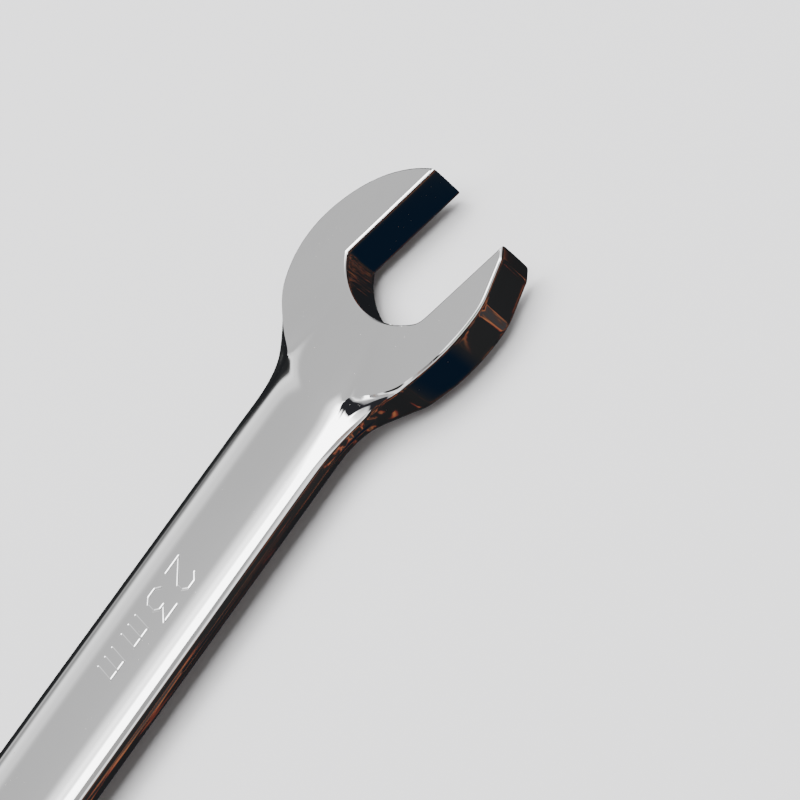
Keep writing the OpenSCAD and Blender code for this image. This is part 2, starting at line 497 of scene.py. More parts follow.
@dataclass
class EffectLibrary:
    """Builds each shared effect as a node group, once.

    Attributes:
        made: The groups built so far.
    """

    made: dict[Effect, bpy.types.ShaderNodeTree] = field(default_factory=dict)

    def get(self, effect: Effect) -> bpy.types.ShaderNodeTree:
        """The node group of an effect.

        Args:
            effect: Which effect.

        Returns:
            Its group, built the first time it is asked for.
        """
        builders = {
            Effect.HAZE: self.build_haze,
            Effect.GRAIN: self.build_grain,
            Effect.SPECKS: self.build_specks,
            Effect.WEAR: self.build_wear,
        }
        if effect not in self.made:
            self.made[effect] = builders[effect]()
        return self.made[effect]

    @staticmethod
    def start(
        effect: Effect, inputs: Sequence[tuple[str, str, float]], outputs: Sequence[str]
    ) -> tuple[bpy.types.ShaderNodeTree, bpy.types.Node, bpy.types.Node, bpy.types.Node]:
        """Makes an empty group with its sockets.

        Args:
            effect: The effect that names the group.
            inputs: (name, socket kind, default) of each input.
            outputs: Names of the outputs, which are all plain values.

        Returns:
            The group, its input node, its output node and a Texture Coordinate node.
        """
        tree = bpy.data.node_groups.new(effect.value, "ShaderNodeTree")
        for name, kind, value in inputs:
            socket = tree.interface.new_socket(name=name, in_out="INPUT", socket_type=kind)
            if kind == "NodeSocketFloat":
                socket.default_value = value
            else:
                socket.default_value = (value, value, value)
        for name in outputs:
            tree.interface.new_socket(name=name, in_out="OUTPUT", socket_type="NodeSocketFloat")
        kinds = ("NodeGroupInput", "NodeGroupOutput", "ShaderNodeTexCoord")
        inlet, outlet, coords = (tree.nodes.new(kind) for kind in kinds)
        return tree, inlet, outlet, coords

    def build_haze(self) -> bpy.types.ShaderNodeTree:
        """Soft patches left by handling, with fine wipe marks in them."""
        tree, inlet, outlet, coords = self.start(
            Effect.HAZE,
            (
                ("Scale", "NodeSocketFloat", 30.0),
                ("Low", "NodeSocketFloat", 0.0),
                ("High", "NodeSocketFloat", 1.0),
            ),
            ("Roughness", "Patches", "Height"),
        )
        broad = tree.nodes.new("ShaderNodeTexNoise")
        broad.inputs["Detail"].default_value = 5.0
        broad.inputs["Distortion"].default_value = 0.6
        tree.links.new(coords.outputs["Object"], broad.inputs["Vector"])
        tree.links.new(inlet.outputs["Scale"], broad.inputs["Scale"])
        wipes = tree.nodes.new("ShaderNodeMapping")
        wipes.inputs["Scale"].default_value = (120.0, 900.0, 900.0)
        wipes.inputs["Rotation"].default_value = (0.0, 0.0, 0.35)
        tree.links.new(coords.outputs["Object"], wipes.inputs["Vector"])
        fine = tree.nodes.new("ShaderNodeTexNoise")
        fine.inputs["Scale"].default_value = 1.0
        fine.inputs["Detail"].default_value = 3.0
        tree.links.new(wipes.outputs["Vector"], fine.inputs["Vector"])
        patches = remap(tree, broad.outputs["Fac"], (0.38, 0.72), (0.0, 1.0))
        streaks = remap(tree, fine.outputs["Fac"], (0.40, 0.75), (0.55, 1.0))
        both = tree.nodes.new("ShaderNodeMath")
        both.operation = "MULTIPLY"
        tree.links.new(patches.outputs["Result"], both.inputs[0])
        tree.links.new(streaks.outputs["Result"], both.inputs[1])
        rough = tree.nodes.new("ShaderNodeMapRange")
        tree.links.new(both.outputs["Value"], rough.inputs["Value"])
        tree.links.new(inlet.outputs["Low"], rough.inputs["To Min"])
        tree.links.new(inlet.outputs["High"], rough.inputs["To Max"])
        tree.links.new(rough.outputs["Result"], outlet.inputs["Roughness"])
        tree.links.new(patches.outputs["Result"], outlet.inputs["Patches"])
        tree.links.new(broad.outputs["Fac"], outlet.inputs["Height"])
        return tree

    def build_grain(self) -> bpy.types.ShaderNodeTree:
        """Fine tool marks, drawn out along the axis with the smallest stretch."""
        tree, inlet, outlet, coords = self.start(
            Effect.GRAIN, (("Stretch", "NodeSocketVector", 1000.0),), ("Height", "Tone")
        )
        scale = tree.nodes.new("ShaderNodeVectorMath")
        scale.operation = "MULTIPLY"
        tree.links.new(coords.outputs["Object"], scale.inputs[0])
        tree.links.new(inlet.outputs["Stretch"], scale.inputs[1])
        marks = tree.nodes.new("ShaderNodeTexNoise")
        marks.inputs["Scale"].default_value = 1.0
        marks.inputs["Detail"].default_value = 6.0
        marks.inputs["Roughness"].default_value = 0.62
        tree.links.new(scale.outputs["Vector"], marks.inputs["Vector"])
        tone = remap(tree, marks.outputs["Fac"], (0.3, 0.7), (0.0, 1.0))
        tree.links.new(marks.outputs["Fac"], outlet.inputs["Height"])
        tree.links.new(tone.outputs["Result"], outlet.inputs["Tone"])
        return tree

    def build_specks(self) -> bpy.types.ShaderNodeTree:
        """Scattered dust specks, thicker in some places."""
        tree, inlet, outlet, coords = self.start(
            Effect.SPECKS,
            (("Scale", "NodeSocketFloat", 900.0), ("Size", "NodeSocketFloat", 0.1)),
            ("Mask",),
        )
        cells = tree.nodes.new("ShaderNodeTexVoronoi")
        tree.links.new(coords.outputs["Object"], cells.inputs["Vector"])
        tree.links.new(inlet.outputs["Scale"], cells.inputs["Scale"])
        near = tree.nodes.new("ShaderNodeMath")
        near.operation = "LESS_THAN"
        tree.links.new(cells.outputs["Distance"], near.inputs[0])
        tree.links.new(inlet.outputs["Size"], near.inputs[1])
        drift = tree.nodes.new("ShaderNodeTexNoise")
        drift.inputs["Scale"].default_value = 160.0
        tree.links.new(coords.outputs["Object"], drift.inputs["Vector"])
        where = remap(tree, drift.outputs["Fac"], (0.50, 0.60), (0.0, 1.0))
        mask = tree.nodes.new("ShaderNodeMath")
        mask.operation = "MULTIPLY"
        tree.links.new(near.outputs["Value"], mask.inputs[0])
        tree.links.new(where.outputs["Result"], mask.inputs[1])
        tree.links.new(mask.outputs["Value"], outlet.inputs["Mask"])
        return tree

    def build_wear(self) -> bpy.types.ShaderNodeTree:
        """Wear on outward edges, broken up so that it isn't even."""
        tree, inlet, outlet, coords = self.start(
            Effect.WEAR, (("Reach", "NodeSocketFloat", 0.06), ("Scale", "NodeSocketFloat", 300.0)), ("Mask",)
        )
        shape = tree.nodes.new("ShaderNodeNewGeometry")
        broken = tree.nodes.new("ShaderNodeTexNoise")
        broken.inputs["Detail"].default_value = 4.0
        tree.links.new(coords.outputs["Object"], broken.inputs["Vector"])
        tree.links.new(inlet.outputs["Scale"], broken.inputs["Scale"])
        above = tree.nodes.new("ShaderNodeMath")
        above.operation = "SUBTRACT"
        above.inputs[1].default_value = 0.5
        tree.links.new(shape.outputs["Pointiness"], above.inputs[0])
        share = tree.nodes.new("ShaderNodeMath")
        share.operation = "DIVIDE"
        share.use_clamp = True
        tree.links.new(above.outputs["Value"], share.inputs[0])
        tree.links.new(inlet.outputs["Reach"], share.inputs[1])
        patchy = remap(tree, broken.outputs["Fac"], (0.35, 0.6), (0.2, 1.0))
        mask = tree.nodes.new("ShaderNodeMath")
        mask.operation = "MULTIPLY"
        tree.links.new(share.outputs["Value"], mask.inputs[0])
        tree.links.new(patchy.outputs["Result"], mask.inputs[1])
        tree.links.new(mask.outputs["Value"], outlet.inputs["Mask"])
        return tree


@dataclass(frozen=True)
class Finish:
    """A finish, as the values that its material gives the shared effects.

    Attributes:
        name: Name of the material.
        colour: Colour of the clean surface.
        hazed: Colour where handling has dulled it.
        worn: Colour along worn edges and on dust.
        metallic: 1 for metal and 0 for rubber.
        roughness: Roughness of the cleanest and of the dullest places.
        haze_scale: Size of the dull patches, as repeats in a metre.
        stretch: Repeats in a metre of the tool marks along each axis.
        grain_depth: Depth of the tool marks in metres.
        wave_depth: Depth of the broad unevenness in metres.
        speck_size: Size of the dust specks as a share of their spacing.
        wear: Whether outward edges are worn.
    """

    name: str
    colour: tuple[float, float, float]
    hazed: tuple[float, float, float]
    worn: tuple[float, float, float]
    metallic: float
    roughness: tuple[float, float]
    haze_scale: float
    stretch: tuple[float, float, float]
    grain_depth: float
    wave_depth: float
    speck_size: float
    wear: bool

    def place_group(
        self, tree: bpy.types.NodeTree, group: bpy.types.ShaderNodeTree, values: dict[str, object]
    ) -> bpy.types.Node:
        """Adds a group node with its values.

        Args:
            tree: The material's node tree.
            group: The shared effect.
            values: A value for each input, by name.

        Returns:
            The group node.
        """
        node = tree.nodes.new("ShaderNodeGroup")
        node.node_tree = group
        for name, value in values.items():
            node.inputs[name].default_value = value
        return node

    def make(self, effects: EffectLibrary) -> bpy.types.Material:
        """Builds the finish as a material.

        Args:
            effects: The shared effects.

        Returns:
            The material.
        """
        material = bpy.data.materials.new(self.name)
        material.use_nodes = True
        tree = material.node_tree
        shader = tree.nodes["Principled BSDF"]
        haze = self.place_group(
            tree, effects.get(Effect.HAZE),
            {"Scale": self.haze_scale, "Low": self.roughness[0], "High": self.roughness[1]},
        )
        grain = self.place_group(tree, effects.get(Effect.GRAIN), {"Stretch": self.stretch})
        specks = self.place_group(tree, effects.get(Effect.SPECKS), {"Scale": 900.0, "Size": self.speck_size})
        colour = mix_colours(tree, haze.outputs["Patches"], self.colour, self.hazed)
        if self.wear:
            wear = self.place_group(tree, effects.get(Effect.WEAR), {"Reach": 0.06, "Scale": 400.0})
            colour = mix_colours(tree, wear.outputs["Mask"], colour, self.worn)
        colour = mix_colours(tree, specks.outputs["Mask"], colour, self.worn)
        tree.links.new(colour, shader.inputs["Base Color"])
        rougher = tree.nodes.new("ShaderNodeMath")
        rougher.operation = "MULTIPLY_ADD"
        rougher.inputs[1].default_value = 0.35
        tree.links.new(specks.outputs["Mask"], rougher.inputs[0])
        tree.links.new(haze.outputs["Roughness"], rougher.inputs[2])
        tree.links.new(rougher.outputs["Value"], shader.inputs["Roughness"])
        shader.inputs["Metallic"].default_value = self.metallic
        fine = tree.nodes.new("ShaderNodeBump")
        fine.inputs["Distance"].default_value = self.grain_depth
        tree.links.new(grain.outputs["Height"], fine.inputs["Height"])
        broad = tree.nodes.new("ShaderNodeBump")
        broad.inputs["Distance"].default_value = self.wave_depth
        tree.links.new(haze.outputs["Height"], broad.inputs["Height"])
        tree.links.new(fine.outputs["Normal"], broad.inputs["Normal"])
        tree.links.new(broad.outputs["Normal"], shader.inputs["Normal"])
        return material


MIRROR_CHROME = Finish(
    name="mirror_chrome", colour=(0.82, 0.82, 0.825), hazed=(0.785, 0.785, 0.79), worn=(0.62, 0.61, 0.58),
    metallic=1.0, roughness=(0.035, 0.085), haze_scale=38.0, stretch=(260.0, 1500.0, 1500.0),
    grain_depth=1.2e-7, wave_depth=9.0e-6, speck_size=0.075, wear=False,
)
SATIN_CHROME = Finish(
    name="satin_chrome", colour=(0.71, 0.72, 0.73), hazed=(0.63, 0.64, 0.65), worn=(0.84, 0.85, 0.86),
    metallic=1.0, roughness=(0.20, 0.34), haze_scale=90.0, stretch=(900.0, 5200.0, 5200.0),
    grain_depth=1.6e-6, wave_depth=4.0e-6, speck_size=0.05, wear=True,
)
GROUND_STEEL = Finish(
    name="ground_steel", colour=(0.50, 0.50, 0.50), hazed=(0.41, 0.39, 0.36), worn=(0.68, 0.68, 0.68),
    metallic=1.0, roughness=(0.28, 0.46), haze_scale=120.0, stretch=(700.0, 7000.0, 2500.0),
    grain_depth=3.0e-6, wave_depth=5.0e-6, speck_size=0.06, wear=True,
)
SPRING_STEEL = Finish(
    name="oiled_spring_steel", colour=(0.17, 0.165, 0.16), hazed=(0.11, 0.105, 0.11), worn=(0.42, 0.41, 0.40),
    metallic=1.0, roughness=(0.24, 0.40), haze_scale=200.0, stretch=(2600.0, 2600.0, 2600.0),
    grain_depth=2.0e-6, wave_depth=3.0e-6, speck_size=0.05, wear=True,
)
RUBBER = Finish(
    name="moulded_rubber", colour=(0.018, 0.018, 0.019), hazed=(0.034, 0.033, 0.032), worn=(0.10, 0.10, 0.10),
    metallic=0.0, roughness=(0.52, 0.70), haze_scale=260.0, stretch=(4200.0, 4200.0, 4200.0),
    grain_depth=9.0e-6, wave_depth=6.0e-6, speck_size=0.05, wear=False,
)


# --------------------------------------------------------------------------- wrench body


@dataclass(frozen=True)
class EdgeShape:
    """How the side of the body turns down from its flat top.

    Attributes:
        loops: (share of the way out, share of the height left) for each loop down to the mid-plane.
    """

    loops: tuple[tuple[float, float], ...]

    def mixed(self, other: EdgeShape, share: float) -> EdgeShape:
        """A shape between this one and another.

        Args:
            other: The shape at share 1.
            share: How far towards the other, 0 to 1.

        Returns:
            The mixed shape.
        """
        pairs = zip(self.loops, other.loops)
        return EdgeShape(
            tuple((a[0] + (b[0] - a[0]) * share, a[1] + (b[1] - a[1]) * share) for a, b in pairs)
        )


CRISP_EDGE = EdgeShape(((0.28, 0.983), (0.62, 0.960), (0.90, 0.905), (0.97, 0.79), (1.0, 0.0)))
SHANK_EDGE = EdgeShape(((0.20, 0.975), (0.42, 0.92), (0.64, 0.83), (0.84, 0.56), (1.0, 0.0)))
WEB_EDGE = EdgeShape(((0.20, 0.80), (0.47, 0.60), (0.86, 0.50), (0.93, 0.40), (1.0, 0.0)))
RING_EDGE = EdgeShape(((0.30, 0.99), (0.60, 0.95), (0.87, 0.88), (1.0, 0.74), (1.0, 0.0)))


@dataclass
class Station:
    """One place on the body's rim.

    Attributes:
        side: Where the side stands at the mid-plane.
        edge: How the side turns down there.
        crease: How sharp the upright edge is, 0 to 1.
        rim_crease: How sharp the rim of the top face is there.
        line_crease: How sharp the line is where the web or the shank's shoulder meets the side.
    """

    side: Vector
    edge: EdgeShape
    crease: float = 0.0
    rim_crease: float = 0.0
    line_crease: float = 0.0


@dataclass
class Rim:
    """The rim of the top face in order, with what the side does at each place."""

    verts: list[bmesh.types.BMVert] = field(default_factory=list)
    stations: list[Station] = field(default_factory=list)

    def add(self, vert: bmesh.types.BMVert, station: Station) -> None:
        """Adds the next place."""
        self.verts.append(vert)
        self.stations.append(station)


@dataclass
class TopFace:
    """Rows of vertices of the top face, and the plan outline that its sides come down to.

    Attributes:
        outer: Outer row of the head, from the left tip round the back to the right tip.
        middle: Row halfway between the mouth and the outside.
        inner: Row along the mouth.
        left_side: The shank's left edge, from the head to the ring.
        right_side: The shank's right edge.
        ring: Row across the neck where it meets the ring.
        arc: The rest of the ring's outer edge.
        left: Outside of the head's left half, about the head's centre.
        right: Outside of its right half.
        mouth: The mouth's wall.
        tips: Middle of the left and of the right tip.
        centre: The head's centre.
    """

    outer: list[bmesh.types.BMVert]
    middle: list[bmesh.types.BMVert]
    inner: list[bmesh.types.BMVert]
    left_side: list[bmesh.types.BMVert]
    right_side: list[bmesh.types.BMVert]
    ring: list[bmesh.types.BMVert]
    arc: list[bmesh.types.BMVert]
    left: list[Vector]
    right: list[Vector]
    mouth: list[Vector]
    tips: tuple[Vector, Vector]
    centre: Vector


@dataclass
class WrenchBody:
    """The forged body: open end, shank, neck and ring head. Sizes in millimetres.

    Attributes:
        head_x: Distance from the ring's axis to the open end's head centre.
        ring_radius: Outer radius of the ring head.
        ring_half: Half the ring head's thickness.
    """

    head_x: float
    ring_radius: float
    ring_half: float
    head_radius: float = 21.5
    head_half: float = 4.5
    jaw_angle: float = 15.0
    jaw_half: float = 11.5
    jaw_forward: float = 2.5
    jaw_shift: float = 0.6
    throat_centre: tuple[float, float] = (7.17, 1.4)
    throat_radius: float = 15.7
    right_corner: float = 16.9
    tip_blunt: float = 0.2
    rim: float = 0.42
    shank_half_width: float = 10.75
    shank_half: float = 3.5
    shank_flat: float = 8.4
    web_radius: float = 28.0
    ring_rim: float = 1.6
    bore_radius: float = 15.25
    seat_radius: float = 17.4
    groove_radius: float = 18.3
    band_radius: float = 16.9
    pivot_x: float = 23.0
    lever_pocket: tuple[float, float] = (6.1, 1.5)
    clip_pocket: tuple[float, float] = (5.0, 1.6)
    foot_bore: float = 2.95
    mark_centre: tuple[float, float] = (185.0, -1.0)
    mark_height: float = 6.3
    mark_depth: float = 0.07
    mark_width: float = 0.30
    across: tuple[float, ...] = (1.0, 0.82, 0.55, 0.27, 0.0, -0.27, -0.55, -0.82, -1.0)
    neck_x: float = 60.0
    web_end_x: float = 229.0
    neck_angle: float = 56.5
    soft_crease: float = 0.8
    band_half: float = 3.75
    ring_groove: tuple[float, float] = (-4.85, -5.85)

    # ---- plan outline

    def from_jaw(self, u: float, v: float) -> Vector:
        """A point given along and across the mouth, about the head's centre."""
        turn = Matrix.Rotation(math.radians(-self.jaw_angle), 3, "Z")
        return turn @ Vector((u + self.jaw_forward, v - self.jaw_shift, 0.0))

    def inner_path(self) -> list[Vector]:
        """The mouth's wall from the left tip round the throat to the right tip."""
        cx, cy = self.throat_centre
        left_kink = cx - math.sqrt(self.throat_radius**2 - (self.jaw_half - cy) ** 2)
        right_kink = cx - math.sqrt(self.throat_radius**2 - (self.jaw_half + cy) ** 2)
        offset = self.jaw_half - self.jaw_shift
        left_tip = math.sqrt(self.head_radius**2 - offset**2) - self.jaw_forward - self.tip_blunt
        start = math.degrees(math.atan2(self.jaw_half - cy, left_kink - cx))
        end = math.degrees(math.atan2(-self.jaw_half - cy, right_kink - cx)) + 360.0
        left = [self.from_jaw(u, self.jaw_half) for u in spread(left_tip, left_kink, 8)]
        arc = [
            self.from_jaw(cx + p.x, cy + p.y)
            for p in (polar(self.throat_radius, a) for a in spread(start, end, 21)[1:-1])
        ]
        right = [self.from_jaw(u, -self.jaw_half) for u in spread(right_kink, self.right_corner, 6)]
        return [*left, *arc, *right]

    def left_path(self) -> list[Vector]:
        """The head's outside from the left tip to the left web."""
        swell = {70.0: 0.15, 80.0: 0.4, 90.0: 0.75, 104.0: 1.1, 120.0: 0.95}
        angles = (18.0, 25.0, 34.0, 46.0, 58.0, 70.0, 80.0, 90.0, 104.0, 120.0)
        points = [polar(self.head_radius + swell.get(a, 0.0), a) for a in angles]
        return [*points, self.web_point(0.0, 1) + Vector((-0.25, 0.45, 0))]

    def right_path(self) -> list[Vector]:
        """The head's outside from the right web to the right tip."""
        bends = ((-122.0, -0.5), (-110.0, -0.85), (-97.0, -0.9), (-84.0, -0.5), (-75.0, 0.05))
        points = [polar(self.head_radius + more, a) for a, more in bends]
        corner = self.from_jaw(self.right_corner - 1.65, -self.jaw_half - 2.1)
        straight = [points[-1].lerp(corner, share) for share in (0.33, 0.67, 1.0)]
        return [self.web_point(0.0, -1), *points, *straight]

    def web_point(self, share: float, side: int) -> Vector:
        """A point on the concave web between the head and the shank.

        Args:
            share: 0 at the head to 1 at the shank.
            side: 1 for the left web, -1 for the right one.

        Returns:
            The point about the head's centre.
        """
        reach = self.head_radius + self.web_radius
        cy = self.shank_half_width + self.web_radius
        cx = -math.sqrt(reach**2 - cy**2)
        start = math.degrees(math.atan2(-cy, -cx))
        spot = Vector((cx, cy, 0)) + polar(self.web_radius, start + (-90.0 - start) * share)
        spot.y *= side
        return spot

    @staticmethod
    def inset(path: Sequence[Vector], distance: float) -> list[Vector]:
        """Moves a path to its left by a distance, with mitred corners.

        Args:
            path: The points in order.
            distance: How far to move.

        Returns:
            The moved points.
        """
        moved = []
        for i, here in enumerate(path):
            before = (here - path[i - 1]).normalized() if i else (path[1] - here).normalized()
            after = (path[i + 1] - here).normalized() if i < len(path) - 1 else before
            normal_a, normal_b = Vector((-before.y, before.x, 0)), Vector((-after.y, after.x, 0))
            mitre = (normal_a + normal_b).normalized()
            moved.append(here + mitre * (distance / max(mitre.dot(normal_b), 0.45)))
        return moved

    # ---- cage

    def shank_rows(self) -> list[tuple[float, float, float, float]]:
        """Rows along the shank.

        Returns:
            (x from the ring, bow towards the ends, half width of the flat top, half thickness) of each.
        """
        head, flat, half = self.head_x, self.shank_flat, self.shank_half
        near_head = [
            (head - 21.2, 1.7, flat, half + 0.62),
            (head - 23.8, 1.2, flat, half + 0.22),
            (head - 27.6, 0.6, flat, half + 0.05),
            (head - 33.0, 0.2, flat, half),
        ]
        mark_x = self.mark_centre[0]
        marked = [(x, 0.0, flat, half) for x in spread(mark_x + 18, mark_x - 18, 13)]
        plain = [(x, 0.0, flat, half) for x in (160, 140, 120, 100, 84, 70)]
        neck = [
            (60.0, 0.0, 8.9, half + 0.2),
            (53.0, 0.0, 9.9, 4.3),
            (46.0, 0.0, 11.1, 5.3),
            (38.5, -0.6, 12.4, 6.35),
            (33.0, -1.2, 13.3, self.ring_half),
            (29.0, -2.2, 14.0, self.ring_half),
            (23.5, -4.0, 15.0, self.ring_half),
            (17.5, -6.5, 16.1, self.ring_half),
        ]
        return [*near_head, (head - 42.0, 0.0, flat, half), *marked, *plain, *neck]

    def crown(self, share: float) -> float:
        """How far the shank's top drops at a share of its half width."""
        return 0.55 * abs(share) ** 3.5

    def build_cage(self) -> bmesh.types.BMesh:
        """The coarse mesh of the whole body, both halves joined, bore included."""
        bm = bmesh.new()
        bm.edges.layers.float.new("crease_edge")
        centre = Vector((self.head_x, 0, 0))
        inner, left, right = self.inner_path(), self.left_path(), self.right_path()
        tip_right = right[-1].lerp(inner[-1], 0.5)
        tip_left = inner[0].lerp(left[0], 0.5)
        path = [*right, tip_right, *reversed(inner), tip_left, *left]
        tops = self.inset(path, self.rim)
        n_right, n_inner = len(right), len(inner)
        top_right = tops[:n_right]
        top_tip_right = tops[n_right]
        top_inner = list(reversed(tops[n_right + 1 : n_right + 1 + n_inner]))
        top_tip_left = tops[n_right + 1 + n_inner]
        top_left = tops[n_right + 2 + n_inner :]

        rim_radius = self.head_radius - self.rim
        corner_angle = 180.0 - math.degrees(math.asin(self.shank_flat / rim_radius))
        web_start = math.degrees(math.atan2(left[-1].y, left[-1].x))
        web_angles = spread(web_start, corner_angle, 4)[1:3]
        back = []
        for share in self.across:
            y = self.shank_flat * share
            lift = 0.15 * abs(share) ** 6
            back.append(Vector((-math.sqrt(rim_radius**2 - y**2), y, -lift)))
        outer = [
            *top_left,
            *[polar(rim_radius, a) for a in web_angles],
            *back,
            *[polar(rim_radius, -a) for a in reversed(web_angles)],
            *top_right,
        ]

        def on_head(p: Vector) -> Vector:
            """A point about the head's centre, put on the head's top face."""
            return centre + Vector((p.x, p.y, self.head_half + p.z))

        inner_row = start_chain(bm, [on_head(p) for p in top_inner], closed=False)
        middle = [a.lerp(b, 0.5) for a, b in zip(top_inner, outer)]
        middle[0], middle[-1] = top_tip_left, top_tip_right
        middle_row = pull(bm, inner_row, [on_head(p) for p in middle], closed=False)
        outer_row = pull(bm, middle_row, [on_head(p) for p in outer], closed=False)

        n_left = len(top_left) + 2
        row = outer_row[n_left : n_left + len(self.across)]
        left_side, right_side = [], []
        for x, bow, half_flat, half in self.shank_rows():
            drop = min(1.0, 4 / half)
            targets = [
                Vector((x - bow * (1 - share * share), half_flat * share, half - self.crown(share) * drop))
                for share in self.across
            ]
            if half == self.ring_half:
                targets = [Vector((t.x, t.y, half)) for t in targets]
            row = pull(bm, row, targets, closed=False)
            left_side.append(row[0])
            right_side.append(row[-1])

        ring_top = self.ring_radius - self.ring_rim
        reach = 55.0
        row = pull(bm, row, [polar(ring_top, reach * s, self.ring_half) for s in self.across], closed=False)
        arc_angles = spread(reach, 360.0 - reach, 23)
        arc = start_chain(bm, [polar(ring_top, a, self.ring_half) for a in arc_angles[1:-1]], closed=False)
        bm.edges.new((row[0], arc[0]))
        bm.edges.new((arc[-1], row[-1]))
        loop = [row[0], *arc, *reversed(row[1:])]
        angles = [*arc_angles, *[reach * s for s in reversed(self.across)][1:-1]]
        for radius in (18.6, self.bore_radius + 0.35, self.bore_radius):
            drop = 0.3 if radius == self.bore_radius else 0.0
            loop = pull(bm, loop, [polar(radius, a, self.ring_half - drop) for a in angles], closed=True)
        bore = loop

        rim = self.trace_rim(
            TopFace(
                outer_row, middle_row, inner_row, left_side, right_side, row, arc,
                left, right, inner, (tip_left, tip_right), centre,
            )
        )
        self.wrap_sides(bm, rim.verts, rim.stations)
        self.join_halves(bm, bore, angles)
        return bm

    def shank_station(self, vert: bmesh.types.BMVert, number: int, side: int, centre: Vector) -> Station:
        """What the side does at one row of the web or shank.

        Args:
            vert: The rim's vertex there.
            number: Number of the row, counted from the head.
            side: 1 for the left side, -1 for the right one.
            centre: The head's centre.

        Returns:
            The station.
        """
        if number < 3:
            spot = centre + self.web_point((4 + number) / 6, side)
            edge = WEB_EDGE.mixed(SHANK_EDGE, (number + 1) / 4)
        else:
            spot = Vector((vert.co.x, side * self.side_half_width(vert.co.x), 0))
            ringness = max(0.0, min(1.0, (self.neck_x - vert.co.x) / 40.0))
            edge = SHANK_EDGE.mixed(RING_EDGE, ringness)
        rim_crease = 1.0 if vert.co.x > self.web_end_x else 0.0
        line_crease = self.soft_crease if vert.co.x > self.neck_x else 0.2
        return Station(spot, edge, 0.0, rim_crease, line_crease)

    def head_station(self, spot: Vector, blend: float, at_tip: bool) -> Station:
        """What the side does on the head's outside, blending into a web."""
        edge = CRISP_EDGE.mixed(WEB_EDGE, 0.3 * blend)
        crease_up = self.soft_crease if at_tip else 0.0
        return Station(spot, edge, crease_up, 1.0, self.soft_crease * min(1.0, blend))

    def web_station(self, top: TopFace, number: int, side: int) -> Station:
        """What the side does at one of the three places beside the head's back."""
        spot = top.centre + self.web_point(number / 6, side)
        return Station(spot, CRISP_EDGE.mixed(WEB_EDGE, number / 3), 0.0, 1.0, self.soft_crease)

    def trace_rim(self, top: TopFace) -> Rim:
        """Goes round the rim of the top face and settles the side at each place."""
        rim = Rim()
        n_left, n_right = len(top.left), len(top.right)
        corner_r = n_left + 1 + len(self.across)
        for i, spot in enumerate(top.left):
            blend = max(0.0, (i - n_left + 2) / 2)
            rim.add(top.outer[i], self.head_station(top.centre + spot, blend, i == 0))
        for i in (1, 2, 3):
            rim.add(top.outer[n_left - 1 + i], self.web_station(top, i, 1))
        for i, vert in enumerate(top.left_side):
            rim.add(vert, self.shank_station(vert, i, 1, top.centre))
        rim.add(top.ring[0], Station(polar(self.ring_radius, self.neck_angle), RING_EDGE))
        for vert in top.arc:
            angle = math.degrees(math.atan2(vert.co.y, vert.co.x))
            rim.add(vert, Station(polar(self.ring_radius, angle), RING_EDGE))
        rim.add(top.ring[-1], Station(polar(self.ring_radius, -self.neck_angle), RING_EDGE))
        for i, vert in reversed(list(enumerate(top.right_side))):
            rim.add(vert, self.shank_station(vert, i, -1, top.centre))
        for i in (3, 2, 1):
            rim.add(top.outer[corner_r + 3 - i], self.web_station(top, i, -1))
        for i, spot in enumerate(top.right):
            blend = max(0.0, (2 - i) / 2)
            station = self.head_station(top.centre + spot, blend, i == n_right - 1)
            rim.add(top.outer[corner_r + 3 + i], station)
        rim.add(top.middle[-1], Station(top.centre + top.tips[1], CRISP_EDGE, 0.0, 1.0))
        last = len(top.mouth) - 1
        for i in range(last, -1, -1):
            sharp = self.soft_crease if i in (0, 7, last) else 0.0
            rim.add(top.inner[i], Station(top.centre + top.mouth[i], CRISP_EDGE, sharp, 1.0))
        rim.add(top.middle[0], Station(top.centre + top.tips[0], CRISP_EDGE, 0.0, 1.0))
        return rim

    def side_half_width(self, x: float) -> float:
        """Half width of the shank and neck at a distance from the ring's axis."""
        start, end, wide = 12.4, 60.0, 18.7
        share = max(0.0, min(1.0, (end - x) / (end - start)))
        swell = 0.5 * max(0.0, min(1.0, (225.0 - x) / 75.0))
        return self.shank_half_width + swell + (wide - self.shank_half_width - swell) * share**1.15

    def wrap_sides(
        self, bm: bmesh.types.BMesh, boundary: list[bmesh.types.BMVert], stations: list[Station]
    ) -> None:
        """Pulls the top's rim down to the mid-plane, following each station's edge shape."""
        tops = [v.co.copy() for v in boundary]
        row = boundary
        for i, station in enumerate(stations):
            edge = bm.edges.get((boundary[i - 1], boundary[i]))
            crease(bm, [edge], min(station.rim_crease, stations[i - 1].rim_crease))
        for k in range(len(CRISP_EDGE.loops)):
            targets = []
            for top, station in zip(tops, stations):
                out, up = station.edge.loops[k]
                flat = Vector((top.x, top.y, 0)).lerp(Vector((station.side.x, station.side.y, 0)), out)
                targets.append(Vector((flat.x, flat.y, top.z * up)))
            below = pull(bm, row, targets, closed=True)
            for upper, lower, station in zip(row, below, stations):
                if station.crease:
                    crease(bm, [edge_between(upper, lower)], station.crease)
            if k == 2:
                for i, station in enumerate(stations):
                    line = min(station.line_crease, stations[i - 1].line_crease)
                    crease(bm, [edge_between(below[i - 1], below[i])], line)
            row = below

